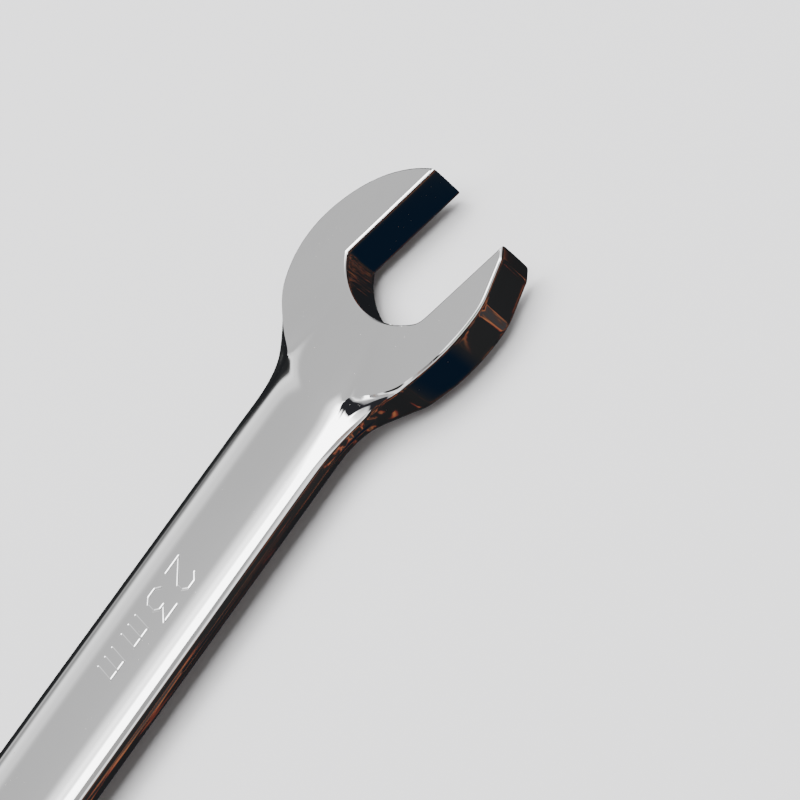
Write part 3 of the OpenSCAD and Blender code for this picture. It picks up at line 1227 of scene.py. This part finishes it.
    def join_halves(self, bm: bmesh.types.BMesh, bore: list[bmesh.types.BMVert], angles: list[float]) -> None:
        """Mirrors the upper half, widens the lower seat and closes the bore."""
        made = bmesh.ops.mirror(
            bm, geom=[*bm.verts, *bm.edges, *bm.faces], matrix=Matrix.Identity(4), merge_dist=WELD, axis="Z"
        )["geom"]
        mirrored = [g for g in made if isinstance(g, bmesh.types.BMVert) and g.is_valid]
        for vert in [v for v in mirrored if v.co.z < -self.ring_half + 0.5]:
            flat = Vector((vert.co.x, vert.co.y, 0))
            if flat.length < self.bore_radius + 0.5:
                grown = self.seat_radius + (0.3 if flat.length > self.bore_radius + 0.1 else 0.0)
                lift = 0.0 if grown > self.seat_radius else 0.3
                vert.co = flat.normalized() * grown + Vector((0, 0, lift - self.ring_half))
        groove_top, groove_bottom = self.ring_groove
        steps = (
            (self.bore_radius, self.band_half),
            (self.band_radius, self.band_half),
            (self.band_radius, -self.band_half),
            (self.seat_radius, -self.band_half),
            (self.seat_radius, groove_top),
            (self.groove_radius, groove_top),
            (self.groove_radius, groove_bottom),
            (self.seat_radius, groove_bottom),
            (self.seat_radius, -self.ring_half + 0.3),
        )
        row = bore
        for radius, z in steps:
            row = pull(bm, row, [polar(radius, a, z) for a in angles], closed=True)
            if z != steps[-1][1]:
                crease(bm, chain_edges(row, closed=True), 1.0)
        bmesh.ops.remove_doubles(bm, verts=bm.verts[:], dist=WELD)

    def build(self, place: Placement, material: bpy.types.Material) -> bpy.types.Object:
        """Builds, smooths and dresses the body.

        Args:
            place: Where it goes in the frame.
            material: Its finish.

        Returns:
            The finished piece.
        """
        bm = self.build_cage()
        bmesh.ops.recalc_face_normals(bm, faces=bm.faces[:])
        obj = new_object("forged_body", bm)
        smooth = obj.modifiers.new("smooth", "SUBSURF")
        smooth.levels = smooth.render_levels = 2
        evaluated(obj)
        self.cut_pockets(obj)
        shade(obj, 24.0)
        bm = bmesh.new()
        bm.from_mesh(obj.data)
        self.round_pocket_rims(bm)
        self.engrave_mark(bm)
        self.broach_throat(bm)
        place.into_frame(bm)
        bm.to_mesh(obj.data)
        bm.free()
        return dress(obj, Body.WRENCH, "wrench_body", material)

    def cut_pockets(self, obj: bpy.types.Object) -> None:
        """Cuts the lever's pocket above, the clip's pocket below and the foot's bore.

        Args:
            obj: The smoothed body, in millimetres about the mid-plane.
        """
        lever_r, lever_depth = self.lever_pocket
        clip_r, clip_depth = self.clip_pocket
        cuts = (
            (lever_r, self.ring_half - lever_depth, self.ring_half + 2),
            (clip_r, -self.ring_half - 2, -self.ring_half + clip_depth),
            (self.foot_bore, -self.ring_half - 1, -3.4),
        )
        for number, (radius, low, high) in enumerate(cuts):
            bm = bmesh.new()
            bmesh.ops.create_cone(
                bm, cap_ends=True, segments=64, radius1=radius, radius2=radius, depth=high - low,
                matrix=Matrix.Translation((self.pivot_x, 0, (low + high) / 2)),
            )
            cutter = new_object(f"cutter_{number}", bm)
            cut = obj.modifiers.new("cut", "BOOLEAN")
            cut.operation = "DIFFERENCE"
            cut.solver = "EXACT"
            cut.object = cutter
            evaluated(obj)
            bpy.data.objects.remove(cutter, do_unlink=True)

    def round_pocket_rims(self, bm: bmesh.types.BMesh) -> None:
        """Breaks the sharp rims of the two pockets."""
        pockets = ((self.lever_pocket[0], self.ring_half), (self.clip_pocket[0], -self.ring_half))

        def on_rim(p: Vector, radius: float, z: float) -> bool:
            """Whether a point lies on a pocket's rim."""
            return abs(p.z - z) < 0.01 and abs(math.hypot(p.x - self.pivot_x, p.y) - radius) < 0.02

        rims = [
            edge for edge in bm.edges for radius, z in pockets
            if all(on_rim(v.co, radius, z) for v in edge.verts)
        ]
        bmesh.ops.bevel(
            bm, geom=rims, offset=0.22, offset_type="OFFSET", segments=3, profile=0.5, affect="EDGES",
            clamp_overlap=True, material=-1,
        )

    def engrave_mark(self, bm: bmesh.types.BMesh) -> None:
        """Cuts the plain size mark into the shank's top face."""
        mark = SizeMark(height=self.mark_height)
        strokes = mark.strokes()
        centre = Vector((*self.mark_centre, 0))
        half_x, half_y = mark.width() / 2 + 1.0, self.mark_height / 2 + 0.6
        zone = []
        for face in bm.faces:
            spot = face.calc_center_median() - centre
            if abs(spot.x) < half_x and abs(spot.y) < half_y and face.normal.z > 0.9:
                zone.append(face)
        edges = list({e for f in zone for e in f.edges})
        bmesh.ops.subdivide_edges(bm, edges=edges, cuts=6, use_grid_fill=True)
        for vert in bm.verts:
            spot = vert.co - centre
            if vert.co.z > self.shank_half - 0.5 and abs(spot.x) < half_x + 2 and abs(spot.y) < half_y + 2:
                near = mark.distance(Vector((-spot.x, -spot.y)), strokes) / (self.mark_width / 2)
                if near < 1.8:
                    cut = 1.0 / (1.0 + math.exp(7.0 * (near - 1.0)))
                    vert.co.z -= self.mark_depth * cut

    def broach_throat(self, bm: bmesh.types.BMesh) -> None:
        """Leaves fine upright tool marks on the throat's wall."""
        turn = Matrix.Rotation(math.radians(self.jaw_angle), 3, "Z")
        origin = Vector((self.head_x, 0, 0))

        def in_jaw(p: Vector) -> Vector:
            """A point given along and across the mouth."""
            flat = turn @ Vector((p.x - origin.x, p.y - origin.y, 0))
            return Vector((flat.x - self.jaw_forward, flat.y + self.jaw_shift, p.z))

        def on_wall(p: Vector) -> bool:
            """Whether a point lies on the throat's wall."""
            spot = in_jaw(p)
            return -9.2 < spot.x < 1.5 and abs(spot.y) < self.jaw_half + 0.05

        wall = [f for f in bm.faces if abs(f.normal.z) < 0.35 and on_wall(f.calc_center_median())]
        edges = list({e for f in wall for e in f.edges})
        bmesh.ops.subdivide_edges(bm, edges=edges, cuts=3, use_grid_fill=True)
        cx, cy = self.throat_centre
        for vert in bm.verts:
            spot = in_jaw(vert.co)
            arm = Vector((spot.x - cx, spot.y - cy))
            at_wall = abs(arm.length - self.throat_radius) < 0.1 and spot.x < 1.5
            if at_wall and abs(spot.z) < self.head_half - 0.25:
                along = math.atan2(arm.y, -arm.x) * self.throat_radius
                marks = noise.noise(Vector((along * 1.9, 3.1, spot.z * 0.10)))
                marks += 0.5 * noise.noise(Vector((along * 4.3, 7.7, spot.z * 0.22)))
                fade = min(1.0, (self.head_half - 0.25 - abs(spot.z)) / 0.6)
                out = turn.transposed() @ Vector((arm.x, arm.y, 0)).normalized()
                vert.co -= out * 0.11 * marks * fade


@dataclass(frozen=True)
class SizeMark:
    """A plain size number and unit in straight strokes, one unit high before scaling.

    Attributes:
        height: Height of the characters in millimetres.
    """

    height: float
    two: tuple[tuple[float, float], ...] = (
        (0, 0.82), (0.16, 1), (0.44, 1), (0.6, 0.82), (0.6, 0.62), (0, 0), (0.6, 0),
    )
    three_top: tuple[tuple[float, float], ...] = ((0, 1), (0.6, 1), (0.26, 0.6))
    three_bowl: tuple[tuple[float, float], ...] = (
        (0.26, 0.6), (0.44, 0.6), (0.6, 0.44), (0.6, 0.16), (0.44, 0), (0.16, 0), (0, 0.16),
    )
    unit_stems: tuple[tuple[float, float], ...] = ((0, 0), (0, 0.66), (0.64, 0.66), (0.64, 0))
    unit_middle: tuple[tuple[float, float], ...] = ((0.32, 0.66), (0.32, 0))
    starts: tuple[float, ...] = (0.0, 0.96, 2.0, 3.08)
    total: float = 3.72

    def width(self) -> float:
        """Width of the whole mark in millimetres."""
        return self.total * self.height

    def strokes(self) -> list[tuple[Vector, Vector]]:
        """Every stroke as (start, end), centred on the origin, in millimetres."""
        lines = []
        shapes = (
            (self.starts[0], (self.two,)),
            (self.starts[1], (self.three_top, self.three_bowl)),
            (self.starts[2], (self.unit_stems, self.unit_middle)),
            (self.starts[3], (self.unit_stems, self.unit_middle)),
        )
        for start, paths in shapes:
            for path in paths:
                points = [
                    Vector((start + x - self.total / 2, y - 0.5)) * self.height for x, y in path
                ]
                lines.extend(zip(points, points[1:]))
        return lines

    @staticmethod
    def distance(spot: Vector, strokes: Sequence[tuple[Vector, Vector]]) -> float:
        """Distance from a point to the nearest stroke."""
        gaps = []
        for a, b in strokes:
            run = b - a
            share = max(0.0, min(1.0, (spot - a).dot(run) / run.length_squared))
            gaps.append((a + run * share - spot).length)
        return min(gaps)


# --------------------------------------------------------------------------- ring end


@dataclass
class RatchetRing:
    """The gear in the ring head with its washer, snap ring and seal. Sizes in millimetres.

    Attributes:
        drive_half: Half the twelve-point hole's size across flats.
        half: Half the ring head's thickness.
    """

    half: float
    drive_half: float = 11.55
    teeth: int = 72
    tip_radius: float = 16.6
    tooth_depth: float = 1.1
    upper_radius: float = 15.2
    lower_radius: float = 14.5
    seal_floor: float = 14.3
    seal_low: float = 4.65
    seal_high: float = 5.65
    band_top: float = 3.65
    band_bottom: float = -3.65
    face_gap: float = 0.2
    lead_in: float = 13.74
    washer: tuple[float, float, float, float] = (14.6, 17.35, -4.75, -3.75)
    snap: tuple[float, float, float, float] = (15.9, 18.2, -5.8, -4.9)
    snap_gap: float = 3.0

    def angles(self) -> list[float]:
        """Angles of the gear's loops, two for each tooth."""
        return [180.0 * i / self.teeth for i in range(2 * self.teeth)]

    def star(self, angle: float) -> float:
        """Radius of the twelve-point hole at an angle."""
        off_corner = abs((angle + 15.0) % 30.0 - 15.0)
        return self.drive_half / math.cos(math.radians(30.0 - off_corner))

    def gear_loops(self) -> list[list[Vector]]:
        """The gear's skin as loops, from the hole's lower lip round the outside and back."""
        top = self.half - self.face_gap
        half_lead = (self.lead_in + self.drive_half) / 2

        def hole(least: float) -> Callable[[float, int], float]:
            """Radius of the hole, but never under a least one."""
            return lambda a, i: max(self.star(a), least)

        def ring(radius: float) -> Callable[[float, int], float]:
            """The same radius all round."""
            return lambda a, i: radius

        def toothed(a: float, i: int) -> float:
            """Tip and root radius by turns."""
            return self.tip_radius - (self.tooth_depth if i % 2 == 0 else 0.0)

        shape = [
            (hole(self.lead_in), -top),
            (hole(half_lead), -top + 0.45),
            (hole(0.0), -top + 0.9),
            (hole(0.0), top - 0.9),
            (hole(half_lead), top - 0.45),
            (hole(self.lead_in), top),
            (ring(self.upper_radius - 0.3), top),
            (ring(self.upper_radius), top - 0.3),
            (ring(self.upper_radius), self.seal_high),
            (ring(self.seal_floor), self.seal_high),
            (ring(self.seal_floor), self.seal_low),
            (ring(self.upper_radius), self.seal_low),
            (ring(self.upper_radius), self.band_top),
            (toothed, self.band_top),
            (toothed, self.band_bottom),
            (ring(self.lower_radius), self.band_bottom),
            (ring(self.lower_radius), -top + 0.3),
            (ring(self.lower_radius - 0.3), -top),
        ]
        return [[polar(radius(a, i), a, z) for i, a in enumerate(self.angles())] for radius, z in shape]

    def build_gear(self, place: Placement, material: bpy.types.Material) -> bpy.types.Object:
        """Builds the ratchet gear with its twelve-point hole."""
        bm = bmesh.new()
        loop_tube(bm, self.gear_loops())
        bmesh.ops.recalc_face_normals(bm, faces=bm.faces[:])
        soften(bm, 0.09, degrees=28.0, segments=2)
        return finish_piece(
            "twelve_point_gear", bm, place, Body.GEAR, "ratchet_gear", material
        )

    def build_washer(self, place: Placement, material: bpy.types.Material) -> bpy.types.Object:
        """Builds the flat washer that closes the gear's seat."""
        inner, outer, low, high = self.washer
        bm = bmesh.new()
        revolve(bm, ((inner, low), (outer, low), (outer, high), (inner, high)), 128, Vector())
        soften(bm, 0.08)
        return finish_piece(
            "seat_washer", bm, place, Body.WRENCH, "retaining_washer", material
        )

    def build_snap_ring(self, place: Placement, material: bpy.types.Material) -> bpy.types.Object:
        """Builds the split ring, with its gap away from the shank."""
        bm = bmesh.new()
        split_ring(bm, self.snap, self.snap_gap, 180.0, Vector(), 120)
        soften(bm, 0.1)
        return finish_piece("split_snap_ring", bm, place, Body.WRENCH, "snap_ring", material)

    def build_seal(self, place: Placement, material: bpy.types.Material) -> bpy.types.Object:
        """Builds the rubber ring in the gear's groove."""
        bm = bmesh.new()
        middle = (self.seal_low + self.seal_high) / 2
        round_ring(bm, self.seal_floor + 0.43, 0.42, Vector((0, 0, middle)), 96)
        return finish_piece("gear_o_ring", bm, place, Body.GEAR, "gear_seal", material, 60.0)


# --------------------------------------------------------------------------- reversing lever


@dataclass
class ReversingLever:
    """The thumb lever with its stem, clip and seal. Sizes in millimetres about the mid-plane.

    Attributes:
        half: Half the ring head's thickness.
        pivot: The lever's pivot.
        rest_angle: The angle that the tab points at when the wrench is at rest, in degrees.
    """

    half: float
    pivot: Vector
    rest_angle: float = 10.0
    disc_radius: float = 5.8
    tab_reach: float = 13.0
    tab_half: float = 2.6
    base: float = 0.25
    height: float = 2.2
    stem: tuple[tuple[float, float], ...] = (
        (0.0, -6.35), (2.6, -6.35), (2.9, -6.05), (2.9, -5.95), (2.2, -5.95), (2.2, -5.35), (2.9, -5.35),
        (2.9, -3.0), (2.25, -3.0), (2.25, 3.2), (3.4, 3.2), (3.4, 5.35), (5.8, 5.35), (5.8, 7.1), (0.0, 7.1),
    )
    clip: tuple[float, float, float, float] = (2.25, 4.4, -6.1, -5.3)
    clip_gap: float = 3.0
    seal_radius: float = 4.15
    seal_wire: float = 0.5
    seal_height: float = 4.7

    def outline(self) -> list[Vector]:
        """The head's outline: a disc that narrows into a round-ended tab along +X."""
        neck = math.degrees(math.asin(self.tab_half / self.disc_radius))
        disc = [polar(self.disc_radius, a) for a in spread(neck + 14, 346 - neck, 41)]
        tip_x = self.tab_reach - self.tab_half
        waist = Vector((self.disc_radius * 0.98, -self.tab_half * 1.02, 0))
        tip = [Vector((tip_x, 0, 0)) + polar(self.tab_half, a) for a in spread(-90, 90, 15)]
        other_waist = Vector((waist.x, -waist.y, 0))
        return [*disc, waist, *tip, other_waist]

    def build_lever(self, place: Placement, material: bpy.types.Material) -> bpy.types.Object:
        """Builds the lever's head, with thumb grooves across its tab, and its stem."""
        bm = bmesh.new()
        base = self.half + self.base
        verts = start_chain(bm, [p + Vector((0, 0, base)) for p in self.outline()], closed=True)
        bottom = bm.faces.new(verts)
        raised = bmesh.ops.extrude_face_region(bm, geom=[bottom], use_keep_orig=True)["geom"]
        lifted = [g for g in raised if isinstance(g, bmesh.types.BMVert)]
        bmesh.ops.translate(bm, verts=lifted, vec=(0, 0, self.height))
        bmesh.ops.recalc_face_normals(bm, faces=bm.faces[:])
        top = base + self.height
        rim = [e for e in bm.edges if all(abs(v.co.z - top) < WELD for v in e.verts)]
        bmesh.ops.bevel(
            bm, geom=rim, offset=0.7, offset_type="OFFSET", segments=4, profile=0.5, affect="EDGES",
            clamp_overlap=True, material=-1,
        )
        self.cut_grooves(bm, top)
        revolve(bm, self.stem, 64, Vector())
        bmesh.ops.recalc_face_normals(bm, faces=bm.faces[:])
        self.turn_to_rest(bm)
        return finish_piece(
            "thumb_lever", bm, place, Body.SELECTOR, "reversing_lever", material, 32.0
        )

    def cut_grooves(self, bm: bmesh.types.BMesh, top: float) -> None:
        """Cuts V grooves across the tab's top."""
        for i in range(3):
            middle = self.tab_reach - 1.9 - 1.8 * i
            for x in (middle - 0.5, middle, middle + 0.5):
                everything = [*bm.verts, *bm.edges, *bm.faces]
                bmesh.ops.bisect_plane(
                    bm, geom=everything, dist=WELD, plane_co=(x, 0, 0), plane_no=(1, 0, 0)
                )
            for vert in bm.verts:
                if abs(vert.co.x - middle) < 1e-3 and vert.co.z > top - 0.35:
                    vert.co.z -= 0.45

    def turn_to_rest(self, bm: bmesh.types.BMesh) -> None:
        """Turns a mesh drawn about the origin to the rest angle and moves it to the pivot."""
        turn = Matrix.Rotation(math.radians(self.rest_angle), 3, "Z")
        bmesh.ops.rotate(bm, verts=bm.verts[:], cent=(0, 0, 0), matrix=turn)
        bmesh.ops.translate(bm, verts=bm.verts[:], vec=self.pivot)

    def build_clip(self, place: Placement, material: bpy.types.Material) -> bpy.types.Object:
        """Builds the open clip on the stem's foot."""
        bm = bmesh.new()
        split_ring(bm, self.clip, self.clip_gap, self.rest_angle, self.pivot, 60)
        soften(bm, 0.08)
        return finish_piece("foot_clip", bm, place, Body.SELECTOR, "lever_clip", material)

    def build_seal(self, place: Placement, material: bpy.types.Material) -> bpy.types.Object:
        """Builds the rubber ring under the lever's disc."""
        bm = bmesh.new()
        round_ring(bm, self.seal_radius, self.seal_wire, self.pivot + Vector((0, 0, self.seal_height)), 64)
        return finish_piece(
            "lever_o_ring", bm, place, Body.SELECTOR, "lever_seal", material, 60.0
        )


@dataclass
class Detent:
    """The spring behind the detent ball. Sizes in millimetres about the mid-plane.

    Attributes:
        start: Where the spring's centre line begins, from the ring's axis.
        end: Where it ends.
    """

    start: float
    end: float
    coil_radius: float = 1.23
    wire_radius: float = 0.2
    turns: int = 6
    steps_per_turn: int = 24

    def build_spring(self, place: Placement, material: bpy.types.Material) -> bpy.types.Object:
        """Builds the coil spring as a wire section screwed along X."""
        bm = bmesh.new()
        section = bmesh.ops.create_circle(bm, cap_ends=True, segments=10, radius=self.wire_radius)["verts"]
        upright = Matrix.Rotation(math.pi, 3, "Z") @ Matrix.Rotation(math.pi / 2, 3, "X")
        bmesh.ops.rotate(bm, verts=section, cent=(0, 0, 0), matrix=upright)
        bmesh.ops.translate(bm, verts=section, vec=(self.start + self.wire_radius, 0, self.coil_radius))
        steps = self.turns * self.steps_per_turn
        advance = (self.end - self.start - 2 * self.wire_radius) / steps
        bmesh.ops.spin(
            bm,
            geom=[*bm.verts, *bm.edges, *bm.faces],
            cent=(0, 0, 0),
            axis=(1, 0, 0),
            dvec=(advance, 0, 0),
            angle=math.tau * self.turns,
            steps=steps,
            use_merge=False,
        )
        bmesh.ops.remove_doubles(bm, verts=bm.verts[:], dist=WELD)
        return finish_piece(
            "catch_spring", bm, place, Body.WRENCH, "detent_spring", material, 50.0
        )


# --------------------------------------------------------------------------- studio


@dataclass
class Studio:
    """Floor, lights, room and camera. Directions in the room are angles about X.

    Attributes:
        target: What the camera looks at.
        distance: How far the camera is from it.
        azimuth: Where the camera stands round the wrench, in degrees.
        elevation: How high it looks from, in degrees.
        roll: How far it is turned about its own line of sight, in degrees.
        lens: Focal length in millimetres.
        sky: (angle from the horizon behind the wrench over the top, brightness, colour) of the room.
        streaks: (noise value, colour) of the copper glow low in front.
        brightness: Strength of the room's light.
        end_grey: Colour of the room's two ends.
        flag: Direction of a dark flag, and flag_black its colour.
        jaw_glance: Direction that the jaw's inner face mirrors, and jaw_navy its colour.
    """

    target: Vector
    distance: float = 0.2569
    azimuth: float = 1.91
    elevation: float = 49.15
    roll: float = -55.5
    lens: float = 72.0
    sky: tuple[tuple[float, float, tuple[float, float, float]], ...] = (
        (-90.0, 0.020, (0.9, 0.95, 1.1)),
        (-40.0, 0.018, (0.9, 0.95, 1.1)),
        (20.0, 0.030, (0.95, 1.0, 1.05)),
        (25.0, 0.10, (1.0, 1.0, 1.0)),
        (29.0, 1.7, (1.0, 1.0, 1.0)),
        (37.0, 1.3, (1.0, 1.0, 1.0)),
        (42.0, 0.74, (1.0, 1.0, 1.0)),
        (56.0, 0.80, (1.0, 1.0, 1.0)),
        (64.0, 2.2, (1.0, 1.0, 1.0)),
        (74.0, 9.0, (1.0, 1.0, 1.0)),
        (112.0, 9.0, (1.0, 1.0, 1.0)),
        (118.0, 0.04, (1.0, 1.0, 1.0)),
        (123.0, 0.05, (1.0, 1.0, 1.0)),
        (130.0, 0.34, (1.0, 0.98, 0.97)),
        (146.0, 0.40, (1.0, 0.96, 0.94)),
        (150.0, 0.45, (1.0, 0.55, 0.40)),
        (154.0, 0.58, (1.0, 0.98, 0.96)),
        (162.0, 0.55, (1.0, 1.0, 1.0)),
        (168.0, 1.7, (1.0, 1.0, 1.0)),
        (181.0, 1.9, (1.0, 1.0, 1.0)),
        (189.0, 0.03, (1.0, 1.0, 1.0)),
        (270.0, 0.020, (0.95, 0.98, 1.05)),
    )
    streaks: tuple[tuple[float, tuple[float, float, float]], ...] = (
        (0.55, (0.0, 0.0, 0.0)),
        (0.57, (0.05, 0.006, 0.003)),
        (0.595, (0.085, 0.030, 0.010)),
        (0.63, (0.008, 0.004, 0.003)),
        (0.67, (0.006, 0.005, 0.005)),
        (0.72, (0.004, 0.004, 0.005)),
    )
    brightness: float = 6.0
    end_grey: tuple[float, float, float] = (0.13, 0.13, 0.132)
    flag: tuple[float, float, float] = (-0.72, -0.12, 0.68)
    flag_black: tuple[float, float, float] = (0.005, 0.005, 0.006)
    jaw_glance: tuple[float, float, float] = (-0.35, -0.56, -0.75)
    jaw_navy: tuple[float, float, float] = (0.0007, 0.0019, 0.0042)

    def add_camera(self) -> None:
        """Places the camera on its direction, distance and roll."""
        a, e = math.radians(self.azimuth), math.radians(self.elevation)
        back = Vector((math.sin(a) * math.cos(e), -math.cos(a) * math.cos(e), math.sin(e)))
        data = bpy.data.cameras.new("camera")
        data.lens = self.lens
        data.sensor_width = 36.0
        data.clip_start = 0.01
        camera = bpy.data.objects.new("camera", data)
        turn = (-back).to_track_quat("-Z", "Y").to_matrix().to_4x4()
        roll = Matrix.Rotation(math.radians(self.roll), 4, "Z")
        camera.matrix_world = Matrix.Translation(self.target + back * self.distance) @ turn @ roll
        bpy.context.scene.collection.objects.link(camera)
        bpy.context.scene.camera = camera

    def add_floor(self, height: float) -> None:
        """Lays a pale floor under the wrench.

        Args:
            height: Height of the floor in metres.
        """
        bm = bmesh.new()
        bmesh.ops.create_grid(bm, x_segments=8, y_segments=8, size=2.5)
        floor = new_object("floor", bm)
        floor.location.z = height
        material = bpy.data.materials.new("pale_paper")
        material.use_nodes = True
        shader = material.node_tree.nodes["Principled BSDF"]
        shader.inputs["Base Color"].default_value = (0.66, 0.66, 0.67, 1)
        shader.inputs["Roughness"].default_value = 0.9
        floor.data.materials.append(material)
        floor.visible_glossy = False

    def add_key(self, place: Vector, aim: Vector, size: tuple[float, float], watts: float) -> None:
        """Adds a soft rectangular light.

        Args:
            place: Where it is.
            aim: What it faces.
            size: Its length and width in metres.
            watts: Its power.
        """
        data = bpy.data.lights.new("key", "AREA")
        data.shape = "RECTANGLE"
        data.size, data.size_y = size
        data.energy = watts
        light = bpy.data.objects.new("key", data)
        turn = (aim - place).to_track_quat("-Z", "Y").to_matrix().to_4x4()
        light.matrix_world = Matrix.Translation(place) @ turn
        light.visible_glossy = False
        bpy.context.scene.collection.objects.link(light)

    def add_bands(self, tree: bpy.types.NodeTree, axes: bpy.types.Node) -> bpy.types.NodeSocket:
        """Adds the bands of light by angle about X, a sixth as bright as they are.

        Args:
            tree: The room's node tree.
            axes: The node that splits a direction into X, Y and Z.

        Returns:
            The socket of the bands' colour.
        """
        behind = tree.nodes.new("ShaderNodeMath")
        behind.operation = "MULTIPLY"
        behind.inputs[1].default_value = -1.0
        tree.links.new(axes.outputs["Y"], behind.inputs[0])
        turn = tree.nodes.new("ShaderNodeMath")
        turn.operation = "ARCTAN2"
        tree.links.new(behind.outputs["Value"], turn.inputs[0])
        tree.links.new(axes.outputs["Z"], turn.inputs[1])
        share = tree.nodes.new("ShaderNodeMapRange")
        share.inputs["From Min"].default_value = -math.pi
        share.inputs["From Max"].default_value = math.pi
        tree.links.new(turn.outputs["Value"], share.inputs["Value"])
        ramp = tree.nodes.new("ShaderNodeValToRGB")
        ramp.color_ramp.interpolation = "EASE"
        elements = ramp.color_ramp.elements
        for number, (angle, level, tint) in enumerate(self.sky):
            position = (angle + 90.0) / 360.0
            stop = elements[number] if number < 2 else elements.new(position)
            stop.position = position
            stop.color = (*(level * c / self.brightness for c in tint), 1.0)
        tree.links.new(share.outputs["Result"], ramp.inputs["Fac"])
        return ramp.outputs["Color"]

    def add_streaks(self, tree: bpy.types.NodeTree, place: bpy.types.NodeSocket) -> bpy.types.NodeSocket:
        """Adds the broken copper glow low in front of the wrench."""
        glow = tree.nodes.new("ShaderNodeTexNoise")
        for socket, value in (("Scale", 5.5), ("Detail", 4.0), ("Distortion", 1.2)):
            glow.inputs[socket].default_value = value
        tree.links.new(place, glow.inputs["Vector"])
        colours = tree.nodes.new("ShaderNodeValToRGB")
        stops = colours.color_ramp.elements
        for number, (position, colour) in enumerate(self.streaks):
            stop = stops[number] if number < 2 else stops.new(position)
            stop.position = position
            stop.color = (*colour, 1.0)
        tree.links.new(glow.outputs["Fac"], colours.inputs["Fac"])
        return colours.outputs["Color"]

    def add_room(self) -> None:
        """Builds the room that the chrome mirrors: soft bands of light that run along the wrench."""
        world = bpy.data.worlds.new("room")
        world.use_nodes = True
        tree = world.node_tree
        nodes, links = tree.nodes, tree.links
        place = nodes.new("ShaderNodeTexCoord").outputs["Generated"]
        axes = nodes.new("ShaderNodeSeparateXYZ")
        links.new(place, axes.inputs["Vector"])
        across = nodes.new("ShaderNodeMath")
        across.operation = "ABSOLUTE"
        links.new(axes.outputs["X"], across.inputs[0])

        ends = remap(tree, across.outputs["Value"], (0.45, 0.75)).outputs["Result"]
        above = remap(tree, axes.outputs["Z"], (-0.02, 0.30)).outputs["Result"]
        colour = mix_colours(tree, multiply(tree, ends, above), self.add_bands(tree, axes), self.end_grey)
        past_flag = remap(tree, distance_from(tree, place, self.flag), (0.38, 0.50)).outputs["Result"]
        colour = mix_colours(tree, past_flag, self.flag_black, colour)

        from_jaw = distance_from(tree, place, self.jaw_glance)
        low = remap(tree, axes.outputs["Z"], (-0.05, -0.35)).outputs["Result"]
        front = remap(tree, axes.outputs["Y"], (-0.05, -0.35)).outputs["Result"]
        clear = remap(tree, from_jaw, (0.20, 0.34)).outputs["Result"]
        streaks = self.add_streaks(tree, place)
        colour = mix_colours(tree, multiply(tree, low, clear, front), colour, streaks, "ADD")
        past_navy = remap(tree, from_jaw, (0.11, 0.24)).outputs["Result"]
        colour = mix_colours(tree, past_navy, self.jaw_navy, colour)

        background = nodes["Background"]
        background.inputs["Strength"].default_value = self.brightness
        links.new(colour, background.inputs["Color"])
        plain = nodes.new("ShaderNodeBackground")
        plain.inputs["Color"].default_value = (0.62, 0.62, 0.63, 1.0)
        choose = nodes.new("ShaderNodeMixShader")
        links.new(nodes.new("ShaderNodeLightPath").outputs["Is Camera Ray"], choose.inputs[0])
        links.new(background.outputs["Background"], choose.inputs[1])
        links.new(plain.outputs["Background"], choose.inputs[2])
        links.new(choose.outputs["Shader"], nodes["World Output"].inputs["Surface"])
        bpy.context.scene.world = world


def main() -> None:
    """Builds the wrench, dresses it and lights it."""
    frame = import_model()
    low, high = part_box("wrench_body")
    ring_radius = -low.x / MM
    ring_half = (high.z - low.z) / 2 / MM
    place = Placement(mid_height=ring_half)
    effects = EffectLibrary()
    mirror, satin = MIRROR_CHROME.make(effects), SATIN_CHROME.make(effects)
    ground, spring, rubber = GROUND_STEEL.make(effects), SPRING_STEEL.make(effects), RUBBER.make(effects)
    WrenchBody(head_x=255.0, ring_radius=ring_radius, ring_half=ring_half).build(place, mirror)
    ring = RatchetRing(half=ring_half)
    ring.build_gear(place, satin)
    ring.build_washer(place, ground)
    ring.build_snap_ring(place, spring)
    ring.build_seal(place, rubber)
    lever = ReversingLever(half=ring_half, pivot=Vector((23.0, 0, 0)))
    lever.build_lever(place, satin)
    lever.build_clip(place, spring)
    lever.build_seal(place, rubber)
    spring_low, spring_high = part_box("detent_spring")
    Detent(start=spring_low.x / MM, end=spring_high.x / MM).build_spring(place, spring)
    for node in ("double_pawl", "detent_ball"):
        kept = frame["nodes"][node]
        kept.data.materials.clear()
        kept.data.materials.append(ground)
        log.info("%s: kept from the frame", node)

    head = Vector((255.0, 0.0, 11.25)) * MM
    studio = Studio(target=head + Vector((-14.45, -18.5, 0)) * MM)
    studio.add_camera()
    studio.add_floor(-0.0005)
    studio.add_room()
    studio.add_key(Vector((0.35, 0.35, 0.9)), head, (0.5, 0.5), 6)


if __name__ == "__main__":
    logging.basicConfig(level=logging.INFO, format="%(name)s: %(message)s")
    main()
